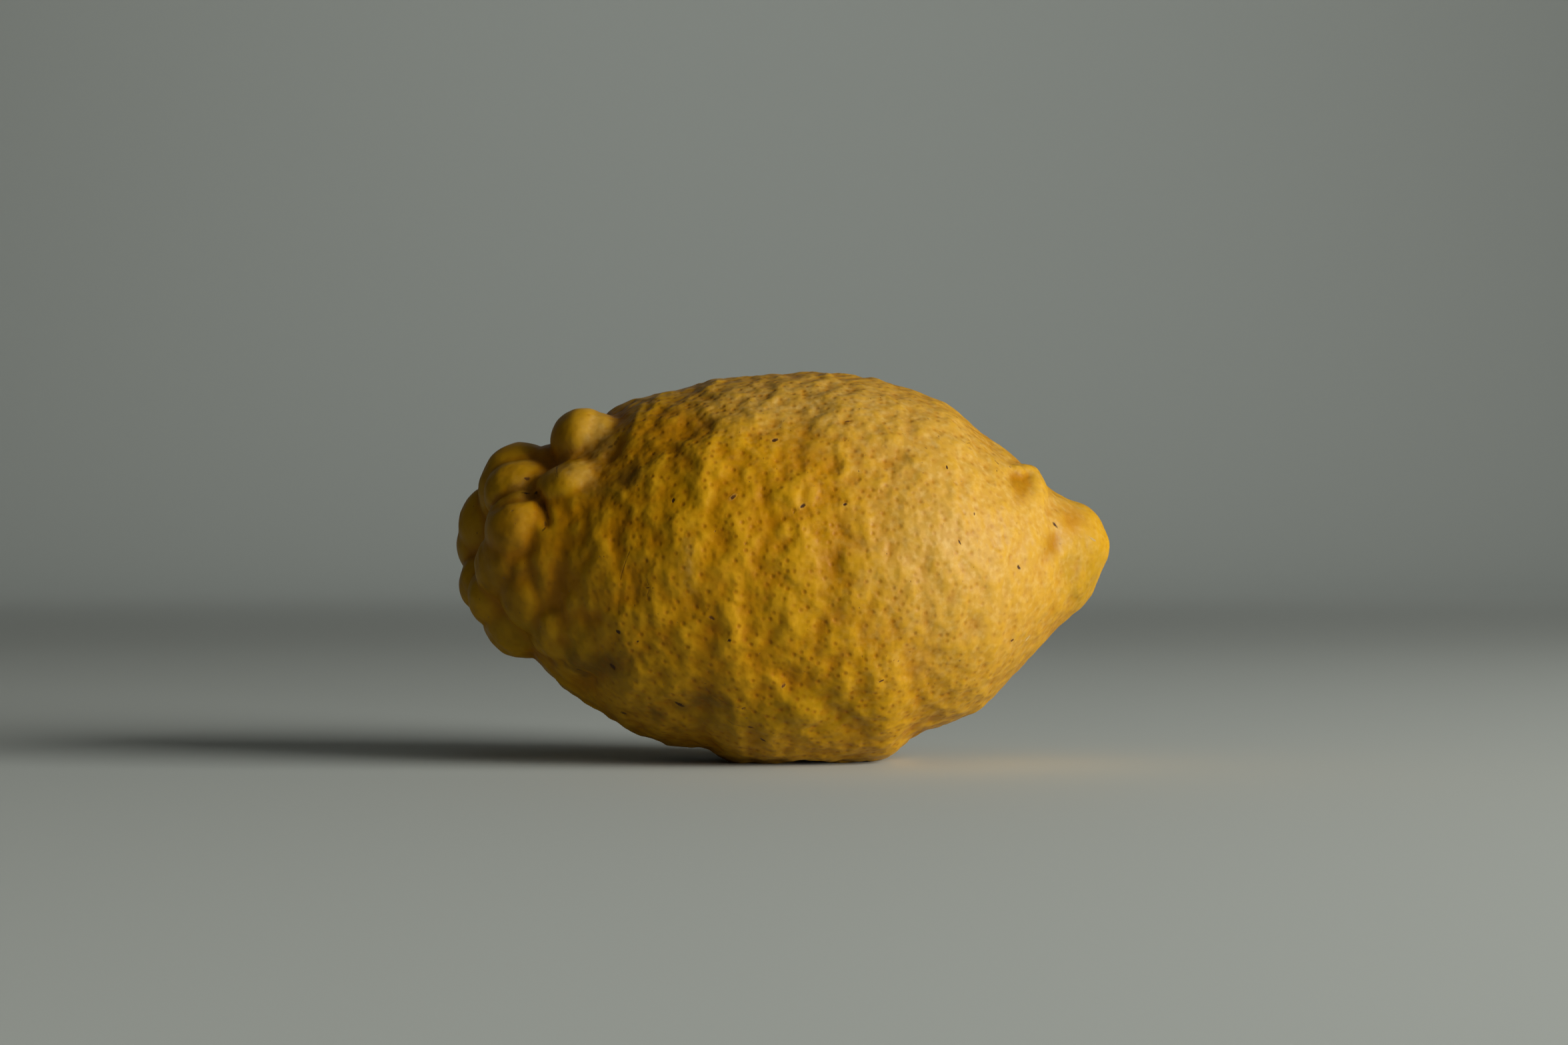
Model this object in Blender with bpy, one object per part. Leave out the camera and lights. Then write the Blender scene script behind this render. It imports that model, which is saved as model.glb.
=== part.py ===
"""A citron lying on its side: one grown solid, with lobes round its stem end and a blunt nipple."""
import math

import bmesh
import bpy
import numpy as np
from mathutils import Matrix, Vector, noise

# Driving dimensions in millimetres. X runs from the stem end to the nipple, Z is up.
LENGTH = 121.2
DEPTH = 75.6
HEIGHT = 71.6
MM = 0.001

# Outline of the body without its lobes: (x, underside, top, half depth).
BODY_START_X = -48.5
BODY_END_X = 58.8
BODY_STATIONS = (
    (-45.5, 23.4, 53.0, 16.0),
    (-41.5, 15.0, 57.4, 21.6),
    (-37.6, 11.9, 60.0, 26.0),
    (-32.6, 8.8, 63.0, 29.8),
    (-27.6, 5.6, 66.5, 32.7),
    (-22.7, 3.8, 68.1, 34.8),
    (-17.7, 2.8, 69.0, 36.2),
    (-13.2, 2.6, 70.2, 37.2),
    (-11.2, 1.4, 70.6, 37.4),
    (-9.2, 0.1, 70.8, 37.6),
    (-5.0, -0.6, 71.1, 37.8),
    (2.0, -0.7, 71.4, 37.8),
    (9.0, -0.6, 71.5, 37.6),
    (14.0, 0.1, 71.2, 37.2),
    (19.4, 0.6, 70.2, 36.4),
    (23.8, 4.6, 68.7, 35.3),
    (30.9, 7.3, 65.9, 33.0),
    (35.9, 9.6, 61.4, 30.0),
    (40.8, 14.2, 58.0, 26.0),
    (45.7, 19.3, 53.4, 21.0),
    (49.6, 23.6, 50.2, 16.2),
    (52.6, 26.6, 48.4, 13.0),
    (55.6, 28.9, 45.5, 9.6),
)
BODY_END_MID_Z = 38.2
BODY_CUTS = 44

# Lobes that grow out of the body: name, centre, radii, tilt about Y in degrees.
SOFT_LOBES = (
    ("nipple", (51.6, 0.0, 37.6), (7.6, 10.8, 10.9), 22),
    ("nipple_tip", (56.2, -1.0, 39.6), (4.3, 5.6, 4.6), 0),
    ("nipple_back", (53.6, 3.5, 38.5), (5.4, 6.0, 6.8), 10),
    ("horn", (45.0, -7.6, 48.4), (3.3, 6.6, 5.6), 8),
    ("end_swelling", (39.1, 3.0, 50.2), (6.0, 8.0, 6.4), 30),
    ("collar", (-46.1, -0.5, 38.6), (6.6, 18.6, 18.6), 0),
    ("shoulder_front", (-35.9, -14.6, 40.0), (8.6, 12.4, 12.0), 0),
    ("shoulder_back", (-34.9, 17.0, 40.0), (8.0, 12.0, 12.0), 0),
    ("shoulder_top", (-27.3, 0.0, 58.2), (7.0, 12.0, 8.2), 0),
    ("neck_filling", (-40.4, -16.4, 39.0), (6.4, 9.6, 12.4), 0),
    ("ridge_filling", (-34.6, -17.6, 46.6), (7.0, 8.6, 6.4), 0),
    ("neck_foot", (-41.7, -4.0, 26.0), (5.4, 10.0, 8.6), 0),
    ("neck_front", (-39.8, -13.6, 27.6), (6.0, 9.4, 8.4), 0),
)
CRISP_LOBES = (
    ("rim_upper", (-51.7, 6.0, 43.6), (8.3, 8.4, 8.2), 0),
    ("rim_middle", (-52.7, 7.6, 40.0), (7.8, 7.4, 6.8), 0),
    ("rim_lower", (-51.8, 3.5, 33.0), (7.9, 7.4, 7.0), 0),
    ("crown_back", (-47.7, -1.5, 50.4), (8.0, 8.4, 8.5), 0),
    ("crown_right", (-41.7, -2.0, 50.6), (7.2, 9.4, 8.2), 0),
    ("crown_front", (-47.2, -8.4, 49.4), (7.0, 7.3, 6.2), 0),
    ("front_upper", (-46.3, -14.6, 43.0), (7.2, 9.2, 7.4), 0),
    ("crown_corner", (-44.2, -10.6, 49.4), (4.8, 5.6, 4.6), 0),
    ("front_whole", (-46.8, -12.8, 38.6), (7.2, 8.8, 9.0), 8),
    ("front_left", (-49.7, -10.4, 36.6), (5.9, 7.4, 6.6), 0),
    ("front_joint", (-45.0, -15.2, 36.6), (5.4, 7.6, 5.4), 0),
    ("front_corner", (-43.8, -14.2, 45.4), (4.8, 6.8, 4.8), 0),
    ("front_lower", (-44.6, -13.8, 33.2), (6.6, 8.6, 9.0), -6),
    ("low_left", (-51.1, -5.2, 30.8), (6.3, 7.2, 6.0), 0),
    ("low_middle", (-47.5, -3.0, 27.4), (7.3, 10.0, 7.9), 0),
    ("ridge", (-37.6, -15.8, 50.5), (7.8, 8.6, 4.9), -22),
    ("knob", (-36.5, -7.8, 59.5), (5.7, 8.2, 5.7), 0),
    ("knob_right", (-33.5, -8.8, 58.8), (6.7, 7.2, 5.4), 10),
    ("knob_foot", (-35.6, -9.8, 55.4), (5.4, 6.2, 4.4), 0),
    ("back_upper", (-44.7, 11.6, 45.6), (7.2, 8.2, 8.6), 0),
    ("back_middle", (-44.3, 12.6, 36.0), (7.0, 7.6, 8.0), 0),
    ("back_low", (-45.3, 7.4, 28.2), (7.0, 8.2, 7.6), 0),
    ("back_knob", (-33.9, 19.6, 51.0), (5.4, 6.4, 5.0), 0),
    ("stem_scar", (-49.3, -1.0, 38.2), (1.4, 3.2, 3.2), 0),
    ("horn_fold_end", (41.2, -11.6, 53.1), (2.7, 3.0, 1.6), 0),
    ("horn_fold", (43.3, -8.4, 53.0), (2.7, 3.2, 1.8), 0),
    ("horn_peak", (44.9, -6.6, 52.5), (2.3, 3.6, 2.2), 16),
)
LOBE_SUBDIVISIONS = 4

# Swellings (positive height) and hollows of the near side: x, z, half width, half height, turn, height.
NEAR_SWELLINGS = (
    (-17.0, 42.0, 3.0, 4.8, 0, 0.63),
    (2.6, 39.0, 2.8, 6.0, 0, 0.8),
    (-8.0, 36.0, 2.6, 4.4, 0, 0.42),
    (-14.0, 54.0, 3.8, 3.8, 10, 0.56),
    (-10.0, 59.5, 3.8, 2.8, -20, 0.49),
    (-33.4, 38.5, 3.2, 6.0, 8, 0.9),
    (-38.0, 26.5, 2.6, 5.0, -8, 0.7),
    (-28.8, 27.0, 3.0, 4.6, 0, 0.6),
    (19.0, 33.5, 2.3, 6.2, 28, 0.42),
    (1.0, 28.0, 2.8, 4.4, 0, 0.5),
    (4.0, 11.6, 4.0, 2.8, 24, 0.8),
    (0.0, 5.0, 4.0, 3.2, 0, 0.49),
    (2.0, 51.0, 3.6, 3.4, 0, 0.35),
    (25.0, 44.0, 3.2, 5.0, 0, 0.28),
    (32.0, 48.0, 3.6, 4.0, 0, 0.4),
    (28.0, 12.0, 4.0, 2.8, -14, 0.35),
    (-23.4, 51.5, 2.2, 3.6, 0, 0.35),
    (-7.4, 44.5, 2.6, 4.0, 0, 0.5),
    (13.0, 34.5, 2.6, 5.5, -15, 0.5),
    (0.4, 48.0, 2.0, 2.4, 0, 0.4),
    (-9.2, 23.4, 2.4, 4.4, 0, 0.55),
    (-16.4, 22.8, 2.2, 4.0, 0, 0.5),
    (-26.4, 15.0, 2.6, 2.4, -20, 0.5),
    (-5.0, 62.4, 2.8, 2.6, 0, 0.45),
    (10.8, 65.0, 2.8, 2.2, 0, 0.5),
    (27.4, 17.4, 3.0, 3.0, 0, 0.35),
    (38.2, 22.0, 3.0, 2.6, 20, 0.4),
    (-36.0, 20.5, 2.8, 2.8, 0, 1.0),
    (-28.0, 53.6, 3.0, 2.6, 0, -0.2),
    (-19.0, 48.4, 1.8, 3.0, 0, -0.28),
    (-12.3, 44.5, 1.8, 4.0, 0, -0.5),
    (2.5, 56.5, 2.2, 4.6, 0, -0.4),
    (7.0, 26.0, 1.8, 4.4, -10, -0.5),
    (-26.0, 33.0, 2.2, 3.6, 10, -0.42),
    (-15.0, 28.0, 2.4, 3.4, 0, -0.35),
    (2.6, 20.0, 2.8, 3.2, 0, -0.42),
    (-19.0, 10.8, 3.0, 1.8, 0, -0.56),
    (-13.6, 12.0, 2.6, 2.4, 0, -0.42),
    (24.0, 20.0, 3.6, 2.6, 0, -0.42),
    (9.4, 34.5, 2.2, 5.6, 0, -0.35),
    (18.6, 25.0, 2.0, 4.4, -10, -0.35),
    (14.0, 25.0, 2.0, 3.4, 0, -0.28),
    (-5.6, 29.0, 2.0, 5.0, 0, -0.35),
    (33.6, 25.6, 3.0, 3.2, 0, -0.45),
    (20.0, 54.4, 2.6, 3.2, 0, -0.35),
    (-35.0, 15.6, 2.8, 1.9, 20, -1.2),
    (-40.8, 34.0, 1.8, 6.4, 0, -0.6),
    (42.8, 53.9, 2.6, 0.8, 0, 0.5),
    (45.8, 49.6, 1.7, 3.4, 8, 0.9),
    (49.4, 41.0, 1.7, 2.0, 20, -0.4),
    (52.0, 36.0, 1.9, 2.6, -20, -0.8),
)
# Furrows of the near side: points (x, z), half width, depth.
NEAR_FURROWS = (
    (((2.4, 16.0), (6.0, 13.8), (9.0, 11.0), (12.0, 8.2)), 2.2, 0.75),
    (((-29.0, 55.5), (-24.0, 58.2), (-19.0, 60.4), (-14.5, 61.6)), 2.6, 0.8),
    (((-31.4, 56.4), (-29.8, 57.6), (-29.0, 59.2)), 0.9, 0.7),
    (((-43.2, 48.2), (-42.5, 46.2), (-42.1, 44.2)), 0.9, 0.9),
    (((48.2, 45.6), (48.9, 43.0), (48.6, 40.0), (47.4, 37.4)), 1.6, 0.4),
    (((-53.0, 46.6), (-50.0, 48.4), (-46.6, 49.0), (-44.2, 49.6)), 1.0, 0.9),
)
# Swellings and hollows of the far side, the top and the underside: centre, radius, height.
FAR_SWELLINGS = (
    ((-20.0, 33.0, 50.0), 7.0, 1.1),
    ((-4.0, 36.0, 30.0), 8.0, 0.9),
    ((14.0, 35.0, 48.0), 7.0, 0.9),
    ((24.0, 33.0, 26.0), 6.0, 0.9),
    ((-28.0, 29.0, 26.0), 6.0, 1.1),
    ((6.0, 28.0, 60.0), 5.0, -1.0),
    ((-12.0, 30.0, 18.0), 5.0, -1.0),
    ((33.0, 24.0, 46.0), 5.0, -0.9),
    ((-33.0, 26.0, 40.0), 4.5, -1.2),
    ((12.0, -14.0, 66.0), 3.2, -0.9),
    ((-24.0, 6.0, 67.0), 5.0, 0.3),
    ((-8.6, 22.0, 62.0), 5.5, 0.8),
    ((4.3, 0.0, -0.6), 3.3, -2.2),
    ((4.3, -7.0, 0.2), 3.3, -2.2),
    ((4.3, 7.0, 0.2), 3.3, -2.2),
    ((23.4, -4.0, 4.8), 3.0, -0.5),
)

# Low undulations over the whole rind: wavelength along X, wavelength round the body, height.
UNDULATIONS = ((34.0, 40.0, 0.5), (15.0, 22.0, 0.35))
# Rounded lumps with narrower dips between them: the same three numbers.
LUMPS = ((9.6, 16.0, 0.4), (6.4, 9.0, 0.35))
DIP_WIDTH = 0.1
# Strength of both along X: plainest on the middle, faint towards the nipple.
RELIEF_ALONG = ((-60.0, -44.0, -35.0, 4.0, 20.0, 36.0, 60.0), (0.3, 0.4, 1.0, 1.0, 0.6, 0.3, 0.4))
# Seed of the noise, and the first draw that each of the two lists takes from it.
GROWTH_SEED = Vector((11.3, 4.7, 8.1))
UNDULATION_DRAW = 1
LUMP_DRAW = 11

# Grain of the melted skin, how often and how far each smoothing pass evens it, and what that costs in height.
SKIN_VOXEL = 1.0
SMOOTHING_SHARE = 0.5
SOFT_SMOOTHING = 9
CRISP_SMOOTHING = 5
SKIN_REGAIN = 0.3
TRIANGLES = 11400
SHARP_ANGLE = math.radians(80)
# How sharply the near side's own relief fades where the rind turns away, and how narrow its swellings are.
FACING_GAIN = 2.5
SWELLING_FALLOFF = 0.7

RIND_COLOUR = (0.62, 0.37, 0.055, 1.0)
RIND_ROUGHNESS = 0.45


def clear_scene():
    for thing in list(bpy.data.objects):
        bpy.data.objects.remove(thing, do_unlink=True)


def smooth_curve(knots_at, knots, at):
    """Cubic curve through the knots, with the slope at each from its two neighbours."""
    slopes = np.gradient(knots, knots_at)
    cell = np.clip(np.searchsorted(knots_at, at) - 1, 0, len(knots_at) - 2)
    width = knots_at[cell + 1] - knots_at[cell]
    t = (at - knots_at[cell]) / width
    start = (1 + 2 * t) * (1 - t) ** 2 * knots[cell]
    end = t * t * (3 - 2 * t) * knots[cell + 1]
    leave = t * (1 - t) ** 2 * width * slopes[cell]
    arrive = t * t * (t - 1) * width * slopes[cell + 1]
    return start + end + leave + arrive


def body_form(bm):
    """A subdivided cube, blown up to a ball and drawn out to the stations of the body."""
    made = bmesh.ops.create_cube(bm, size=2.0)
    edges = list({edge for vert in made["verts"] for edge in vert.link_edges})
    bmesh.ops.subdivide_edges(bm, edges=edges, cuts=BODY_CUTS, use_grid_fill=True)
    middle = (BODY_START_X + BODY_END_X) / 2
    reach = (BODY_END_X - BODY_START_X) / 2
    stations = np.array(BODY_STATIONS)
    turns = np.concatenate(([0.0], np.arccos((middle - stations[:, 0]) / reach), [math.pi]))
    lows = np.concatenate(([BODY_END_MID_Z], stations[:, 1], [BODY_END_MID_Z]))
    tops = np.concatenate(([BODY_END_MID_Z], stations[:, 2], [BODY_END_MID_Z]))
    depths = np.concatenate(([0.0], stations[:, 3], [0.0]))
    for vert in bm.verts:
        cube = vert.co * (math.pi / 4)
        ball = Vector((math.tan(cube.x), math.tan(cube.y), math.tan(cube.z))).normalized()
        turn = np.array([math.acos(max(-1.0, min(1.0, -ball.x)))])
        low = smooth_curve(turns, lows, turn)[0]
        top = smooth_curve(turns, tops, turn)[0]
        depth = smooth_curve(turns, depths, turn)[0]
        round_body = math.hypot(ball.y, ball.z) or 1.0
        vert.co.x = middle - reach * math.cos(turn[0])
        vert.co.y = depth * ball.y / round_body
        vert.co.z = (low + top) / 2 + (top - low) / 2 * ball.z / round_body


def add_lobe(bm, centre, radii, tilt):
    place = Matrix.Translation(centre) @ Matrix.Rotation(math.radians(tilt), 4, "Y")
    place = place @ Matrix.Diagonal((*radii, 1.0))
    bmesh.ops.create_icosphere(bm, subdivisions=LOBE_SUBDIVISIONS, radius=1.0, matrix=place)


def grown_together(bm, smoothing):
    """Melts overlapping closed forms into one skin, then softens where they meet."""
    mesh = bpy.data.meshes.new("growing")
    bm.to_mesh(mesh)
    bm.free()
    thing = bpy.data.objects.new("growing", mesh)
    bpy.context.scene.collection.objects.link(thing)
    melt = thing.modifiers.new("melt", "REMESH")
    melt.mode = "VOXEL"
    melt.voxel_size = SKIN_VOXEL
    soften = thing.modifiers.new("soften", "SMOOTH")
    soften.factor = SMOOTHING_SHARE
    soften.iterations = smoothing
    depsgraph = bpy.context.evaluated_depsgraph_get()
    grown = bpy.data.meshes.new_from_object(thing.evaluated_get(depsgraph))
    bpy.data.objects.remove(thing, do_unlink=True)
    result = bmesh.new()
    result.from_mesh(grown)
    return result


def vertex_arrays(bm):
    bm.normal_update()
    points = np.array([vert.co for vert in bm.verts])
    normals = np.array([vert.normal for vert in bm.verts])
    return points, normals


def push_out(bm, heights):
    points, normals = vertex_arrays(bm)
    moved = points + normals * heights[:, None]
    for vert, place in zip(bm.verts, moved):
        vert.co = place


def distance_to_path(flat_points, path):
    nearest = np.full(len(flat_points), np.inf)
    for start, end in zip(path[:-1], path[1:]):
        start = np.array(start)
        run = np.array(end) - start
        along = np.clip((flat_points - start) @ run / (run @ run), 0.0, 1.0)
        gap = np.linalg.norm(flat_points - start - along[:, None] * run, axis=1)
        nearest = np.minimum(nearest, gap)
    return nearest


def near_side_relief(points, normals):
    facing = np.clip(-normals[:, 1] * FACING_GAIN, 0.0, 1.0)
    heights = np.zeros(len(points))
    for x, z, half_width, half_height, turn, height in NEAR_SWELLINGS:
        along_x = points[:, 0] - x
        along_z = points[:, 2] - z
        swing = math.radians(turn)
        across = (along_x * math.cos(swing) + along_z * math.sin(swing)) / half_width
        up = (along_z * math.cos(swing) - along_x * math.sin(swing)) / half_height
        heights += height * np.exp(-(across ** 2 + up ** 2) * SWELLING_FALLOFF)
    for path, half_width, depth in NEAR_FURROWS:
        gap = distance_to_path(points[:, (0, 2)], path) / half_width
        heights -= depth * np.exp(-gap ** 2)
    return heights * facing


def far_side_relief(points):
    heights = np.zeros(len(points))
    for centre, radius, height in FAR_SWELLINGS:
        gap = np.linalg.norm(points - np.array(centre), axis=1) / radius
        heights += height * np.exp(-gap ** 2)
    return heights


def stretched_noise(points, along, around, draw):
    """Smooth noise between about -1 and 1, drawn out along X and round the body."""
    start = GROWTH_SEED * draw
    stretch = Vector((1 / along, 1 / around, 1 / around))
    return np.array([noise.noise(Vector(p) * stretch + start) for p in points])


def undulation(points):
    heights = np.zeros(len(points))
    for layer, (along, around, height) in enumerate(UNDULATIONS):
        heights += height * stretched_noise(points, along, around, UNDULATION_DRAW + layer)
    return heights


def rounded_lumps(points):
    heights = np.zeros(len(points))
    for layer, (along, around, height) in enumerate(LUMPS):
        values = stretched_noise(points, along, around, LUMP_DRAW + layer)
        bumps = np.sqrt(values ** 2 + DIP_WIDTH ** 2)
        heights += height * (bumps - bumps.mean())
    return heights


def fit_to_size(bm):
    points = np.array([vert.co for vert in bm.verts])
    low = points.min(axis=0)
    high = points.max(axis=0)
    for vert in bm.verts:
        vert.co.x = (vert.co.x - (low[0] + high[0]) / 2) * LENGTH / (high[0] - low[0])
        vert.co.y = (vert.co.y - (low[1] + high[1]) / 2) * DEPTH / (high[1] - low[1])
        vert.co.z = vert.co.z * HEIGHT / high[2]


def thinned(bm):
    """Fewer triangles: most are spent on creases and lobes, fewest on the plain flanks."""
    bmesh.ops.triangulate(bm, faces=bm.faces)
    mesh = bpy.data.meshes.new("thinning")
    bm.to_mesh(mesh)
    thing = bpy.data.objects.new("thinning", mesh)
    bpy.context.scene.collection.objects.link(thing)
    thin = thing.modifiers.new("thin", "DECIMATE")
    thin.ratio = TRIANGLES / len(bm.faces)
    bm.free()
    depsgraph = bpy.context.evaluated_depsgraph_get()
    result = bmesh.new()
    result.from_mesh(bpy.data.meshes.new_from_object(thing.evaluated_get(depsgraph)))
    bpy.data.objects.remove(thing, do_unlink=True)
    return result


def flatten_resting_spots(bm):
    """Cuts off what reaches below the table, and closes the cuts with flat faces."""
    everything = list(bm.verts) + list(bm.edges) + list(bm.faces)
    bmesh.ops.bisect_plane(bm, geom=everything, plane_co=(0, 0, 0), plane_no=(0, 0, -1), clear_outer=True)
    rims = [edge for edge in bm.edges if edge.is_boundary]
    bmesh.ops.holes_fill(bm, edges=rims, sides=0)
    bmesh.ops.triangulate(bm, faces=[face for face in bm.faces if len(face.verts) > 3])


def rind_material():
    rind = bpy.data.materials.new("rind")
    rind.use_nodes = True
    shader = rind.node_tree.nodes["Principled BSDF"]
    shader.inputs["Base Color"].default_value = RIND_COLOUR
    shader.inputs["Roughness"].default_value = RIND_ROUGHNESS
    shader.inputs["Metallic"].default_value = 0.0
    return rind


def citron():
    bm = bmesh.new()
    body_form(bm)
    for _, centre, radii, tilt in SOFT_LOBES:
        add_lobe(bm, centre, radii, tilt)
    bm = grown_together(bm, SOFT_SMOOTHING)
    for _, centre, radii, tilt in CRISP_LOBES:
        add_lobe(bm, centre, radii, tilt)
    bm = grown_together(bm, CRISP_SMOOTHING)
    points, normals = vertex_arrays(bm)
    grown = undulation(points) + rounded_lumps(points)
    relief = near_side_relief(points, normals) + far_side_relief(points)
    relief += grown * np.interp(points[:, 0], *RELIEF_ALONG)
    push_out(bm, relief + SKIN_REGAIN)
    fit_to_size(bm)
    bm = thinned(bm)
    flatten_resting_spots(bm)
    bmesh.ops.scale(bm, vec=(MM, MM, MM), verts=bm.verts)
    mesh = bpy.data.meshes.new("citron")
    bm.to_mesh(mesh)
    bm.free()
    mesh.materials.append(rind_material())
    mesh.shade_smooth()
    mesh.set_sharp_from_angle(angle=SHARP_ANGLE)
    fruit = bpy.data.objects.new("citron", mesh)
    bpy.context.scene.collection.objects.link(fruit)


clear_scene()
citron()
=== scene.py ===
"""A ripe citron lying on its side on a pale floor, in soft light from its nipple end."""

import math

import bmesh
import bpy
import numpy as np
from mathutils import Matrix, Vector, kdtree, noise
from mathutils.bvhtree import BVHTree


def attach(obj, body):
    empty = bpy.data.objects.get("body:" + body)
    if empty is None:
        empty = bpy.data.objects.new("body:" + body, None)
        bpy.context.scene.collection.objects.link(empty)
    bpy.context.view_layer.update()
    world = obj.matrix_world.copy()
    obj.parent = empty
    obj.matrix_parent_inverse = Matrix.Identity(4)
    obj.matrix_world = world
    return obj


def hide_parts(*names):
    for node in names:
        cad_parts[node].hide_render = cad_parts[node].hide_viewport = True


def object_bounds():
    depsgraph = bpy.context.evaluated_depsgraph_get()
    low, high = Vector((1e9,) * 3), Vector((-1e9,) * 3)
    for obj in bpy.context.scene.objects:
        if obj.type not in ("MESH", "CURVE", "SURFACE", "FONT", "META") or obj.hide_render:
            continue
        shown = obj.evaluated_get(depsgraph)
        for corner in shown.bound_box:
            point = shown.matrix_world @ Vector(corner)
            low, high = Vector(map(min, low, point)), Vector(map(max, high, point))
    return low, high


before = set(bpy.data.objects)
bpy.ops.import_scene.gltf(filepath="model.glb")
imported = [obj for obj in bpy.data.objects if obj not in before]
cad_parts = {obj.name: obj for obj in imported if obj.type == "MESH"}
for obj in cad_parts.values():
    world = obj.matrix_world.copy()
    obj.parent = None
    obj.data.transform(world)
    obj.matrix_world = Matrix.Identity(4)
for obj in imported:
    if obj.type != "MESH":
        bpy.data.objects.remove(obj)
cad_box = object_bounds()

# Shapes are in millimetres. X runs from the stem end to the nipple, Z is up, -Y faces the camera.
MM = 0.001

# Outline of the body without its lobes: x, underside, top, half depth.
BODY_START_X = -48.5
BODY_END_X = 58.8
BODY_STATIONS = (
    (-45.5, 23.4, 53.0, 16.0),
    (-41.5, 15.0, 57.4, 21.6),
    (-37.6, 11.9, 60.0, 26.0),
    (-32.6, 8.8, 63.0, 29.8),
    (-27.6, 5.6, 66.5, 32.7),
    (-22.7, 3.8, 68.1, 34.8),
    (-17.7, 2.8, 69.0, 36.2),
    (-13.2, 2.6, 70.2, 37.2),
    (-11.2, 1.4, 70.6, 37.4),
    (-9.2, 0.1, 70.8, 37.6),
    (-5.0, -0.6, 71.1, 37.8),
    (2.0, -0.7, 71.4, 37.8),
    (9.0, -0.6, 71.5, 37.6),
    (14.0, 0.1, 71.2, 37.2),
    (19.4, 0.6, 70.2, 36.4),
    (23.8, 4.6, 68.7, 35.3),
    (30.9, 7.3, 65.9, 33.0),
    (35.9, 9.6, 61.4, 30.0),
    (40.8, 14.2, 58.0, 26.0),
    (45.7, 19.3, 53.4, 21.0),
    (49.6, 23.6, 50.2, 16.2),
    (52.6, 26.6, 48.4, 13.0),
    (55.6, 28.9, 45.5, 9.6),
)
BODY_END_MID_Z = 38.2
# Cuts of each edge of the cube that the body starts from.
BODY_CUTS = 44

# Lobes that grow out of the body: name, centre, radii, tilt about Y in degrees.
SOFT_LOBES = (
    ("nipple", (51.6, 0.0, 37.6), (7.6, 10.8, 10.9), 22),
    ("nipple_tip", (56.2, -1.0, 39.6), (4.3, 5.6, 4.6), 0),
    ("nipple_back", (53.6, 3.5, 38.5), (5.4, 6.0, 6.8), 10),
    ("horn", (45.0, -7.6, 48.4), (3.3, 6.6, 5.6), 8),
    ("end_swelling", (39.1, 3.0, 50.2), (6.0, 8.0, 6.4), 30),
    ("collar", (-46.1, -0.5, 38.6), (6.6, 18.6, 18.6), 0),
    ("shoulder_front", (-35.9, -14.6, 40.0), (8.6, 12.4, 12.0), 0),
    ("shoulder_back", (-34.9, 17.0, 40.0), (8.0, 12.0, 12.0), 0),
    ("shoulder_top", (-27.3, 0.0, 58.2), (7.0, 12.0, 8.2), 0),
    ("neck_filling", (-40.4, -16.4, 39.0), (6.4, 9.6, 12.4), 0),
    ("ridge_filling", (-34.6, -17.6, 46.6), (7.0, 8.6, 6.4), 0),
    ("neck_foot", (-41.7, -4.0, 26.0), (5.4, 10.0, 8.6), 0),
    ("neck_front", (-39.8, -13.6, 27.6), (6.0, 9.4, 8.4), 0),
)
CRISP_LOBES = (
    ("rim_upper", (-51.7, 6.0, 43.6), (8.3, 8.4, 8.2), 0),
    ("rim_middle", (-52.7, 7.6, 40.0), (7.8, 7.4, 6.8), 0),
    ("rim_lower", (-51.8, 3.5, 33.0), (7.9, 7.4, 7.0), 0),
    ("crown_back", (-47.7, -1.5, 50.4), (8.0, 8.4, 8.5), 0),
    ("crown_right", (-41.7, -2.0, 50.6), (7.2, 9.4, 8.2), 0),
    ("crown_front", (-47.2, -8.4, 49.4), (7.0, 7.3, 6.2), 0),
    ("front_upper", (-46.3, -14.6, 43.0), (7.2, 9.2, 7.4), 0),
    ("crown_corner", (-44.2, -10.6, 49.4), (4.8, 5.6, 4.6), 0),
    ("front_whole", (-46.8, -12.8, 38.6), (7.2, 8.8, 9.0), 8),
    ("front_left", (-49.7, -10.4, 36.6), (5.9, 7.4, 6.6), 0),
    ("front_joint", (-45.0, -15.2, 36.6), (5.4, 7.6, 5.4), 0),
    ("front_corner", (-43.8, -14.2, 45.4), (4.8, 6.8, 4.8), 0),
    ("front_lower", (-44.6, -13.8, 33.2), (6.6, 8.6, 9.0), -6),
    ("low_left", (-51.1, -5.2, 30.8), (6.3, 7.2, 6.0), 0),
    ("low_middle", (-47.5, -3.0, 27.4), (7.3, 10.0, 7.9), 0),
    ("ridge", (-37.6, -15.8, 50.5), (7.8, 8.6, 4.9), -22),
    ("knob", (-36.5, -7.8, 59.5), (5.7, 8.2, 5.7), 0),
    ("knob_right", (-33.5, -8.8, 58.8), (6.7, 7.2, 5.4), 10),
    ("knob_foot", (-35.6, -9.8, 55.4), (5.4, 6.2, 4.4), 0),
    ("back_upper", (-44.7, 11.6, 45.6), (7.2, 8.2, 8.6), 0),
    ("back_middle", (-44.3, 12.6, 36.0), (7.0, 7.6, 8.0), 0),
    ("back_low", (-45.3, 7.4, 28.2), (7.0, 8.2, 7.6), 0),
    ("back_knob", (-33.9, 19.6, 51.0), (5.4, 6.4, 5.0), 0),
    ("stem_scar", (-49.3, -1.0, 38.2), (1.4, 3.2, 3.2), 0),
    ("horn_fold_end", (41.2, -11.6, 53.1), (2.7, 3.0, 1.6), 0),
    ("horn_fold", (43.3, -8.4, 53.0), (2.7, 3.2, 1.8), 0),
    ("horn_peak", (44.9, -6.6, 52.5), (2.3, 3.6, 2.2), 16),
)
LOBE_SUBDIVISIONS = 4

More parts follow.
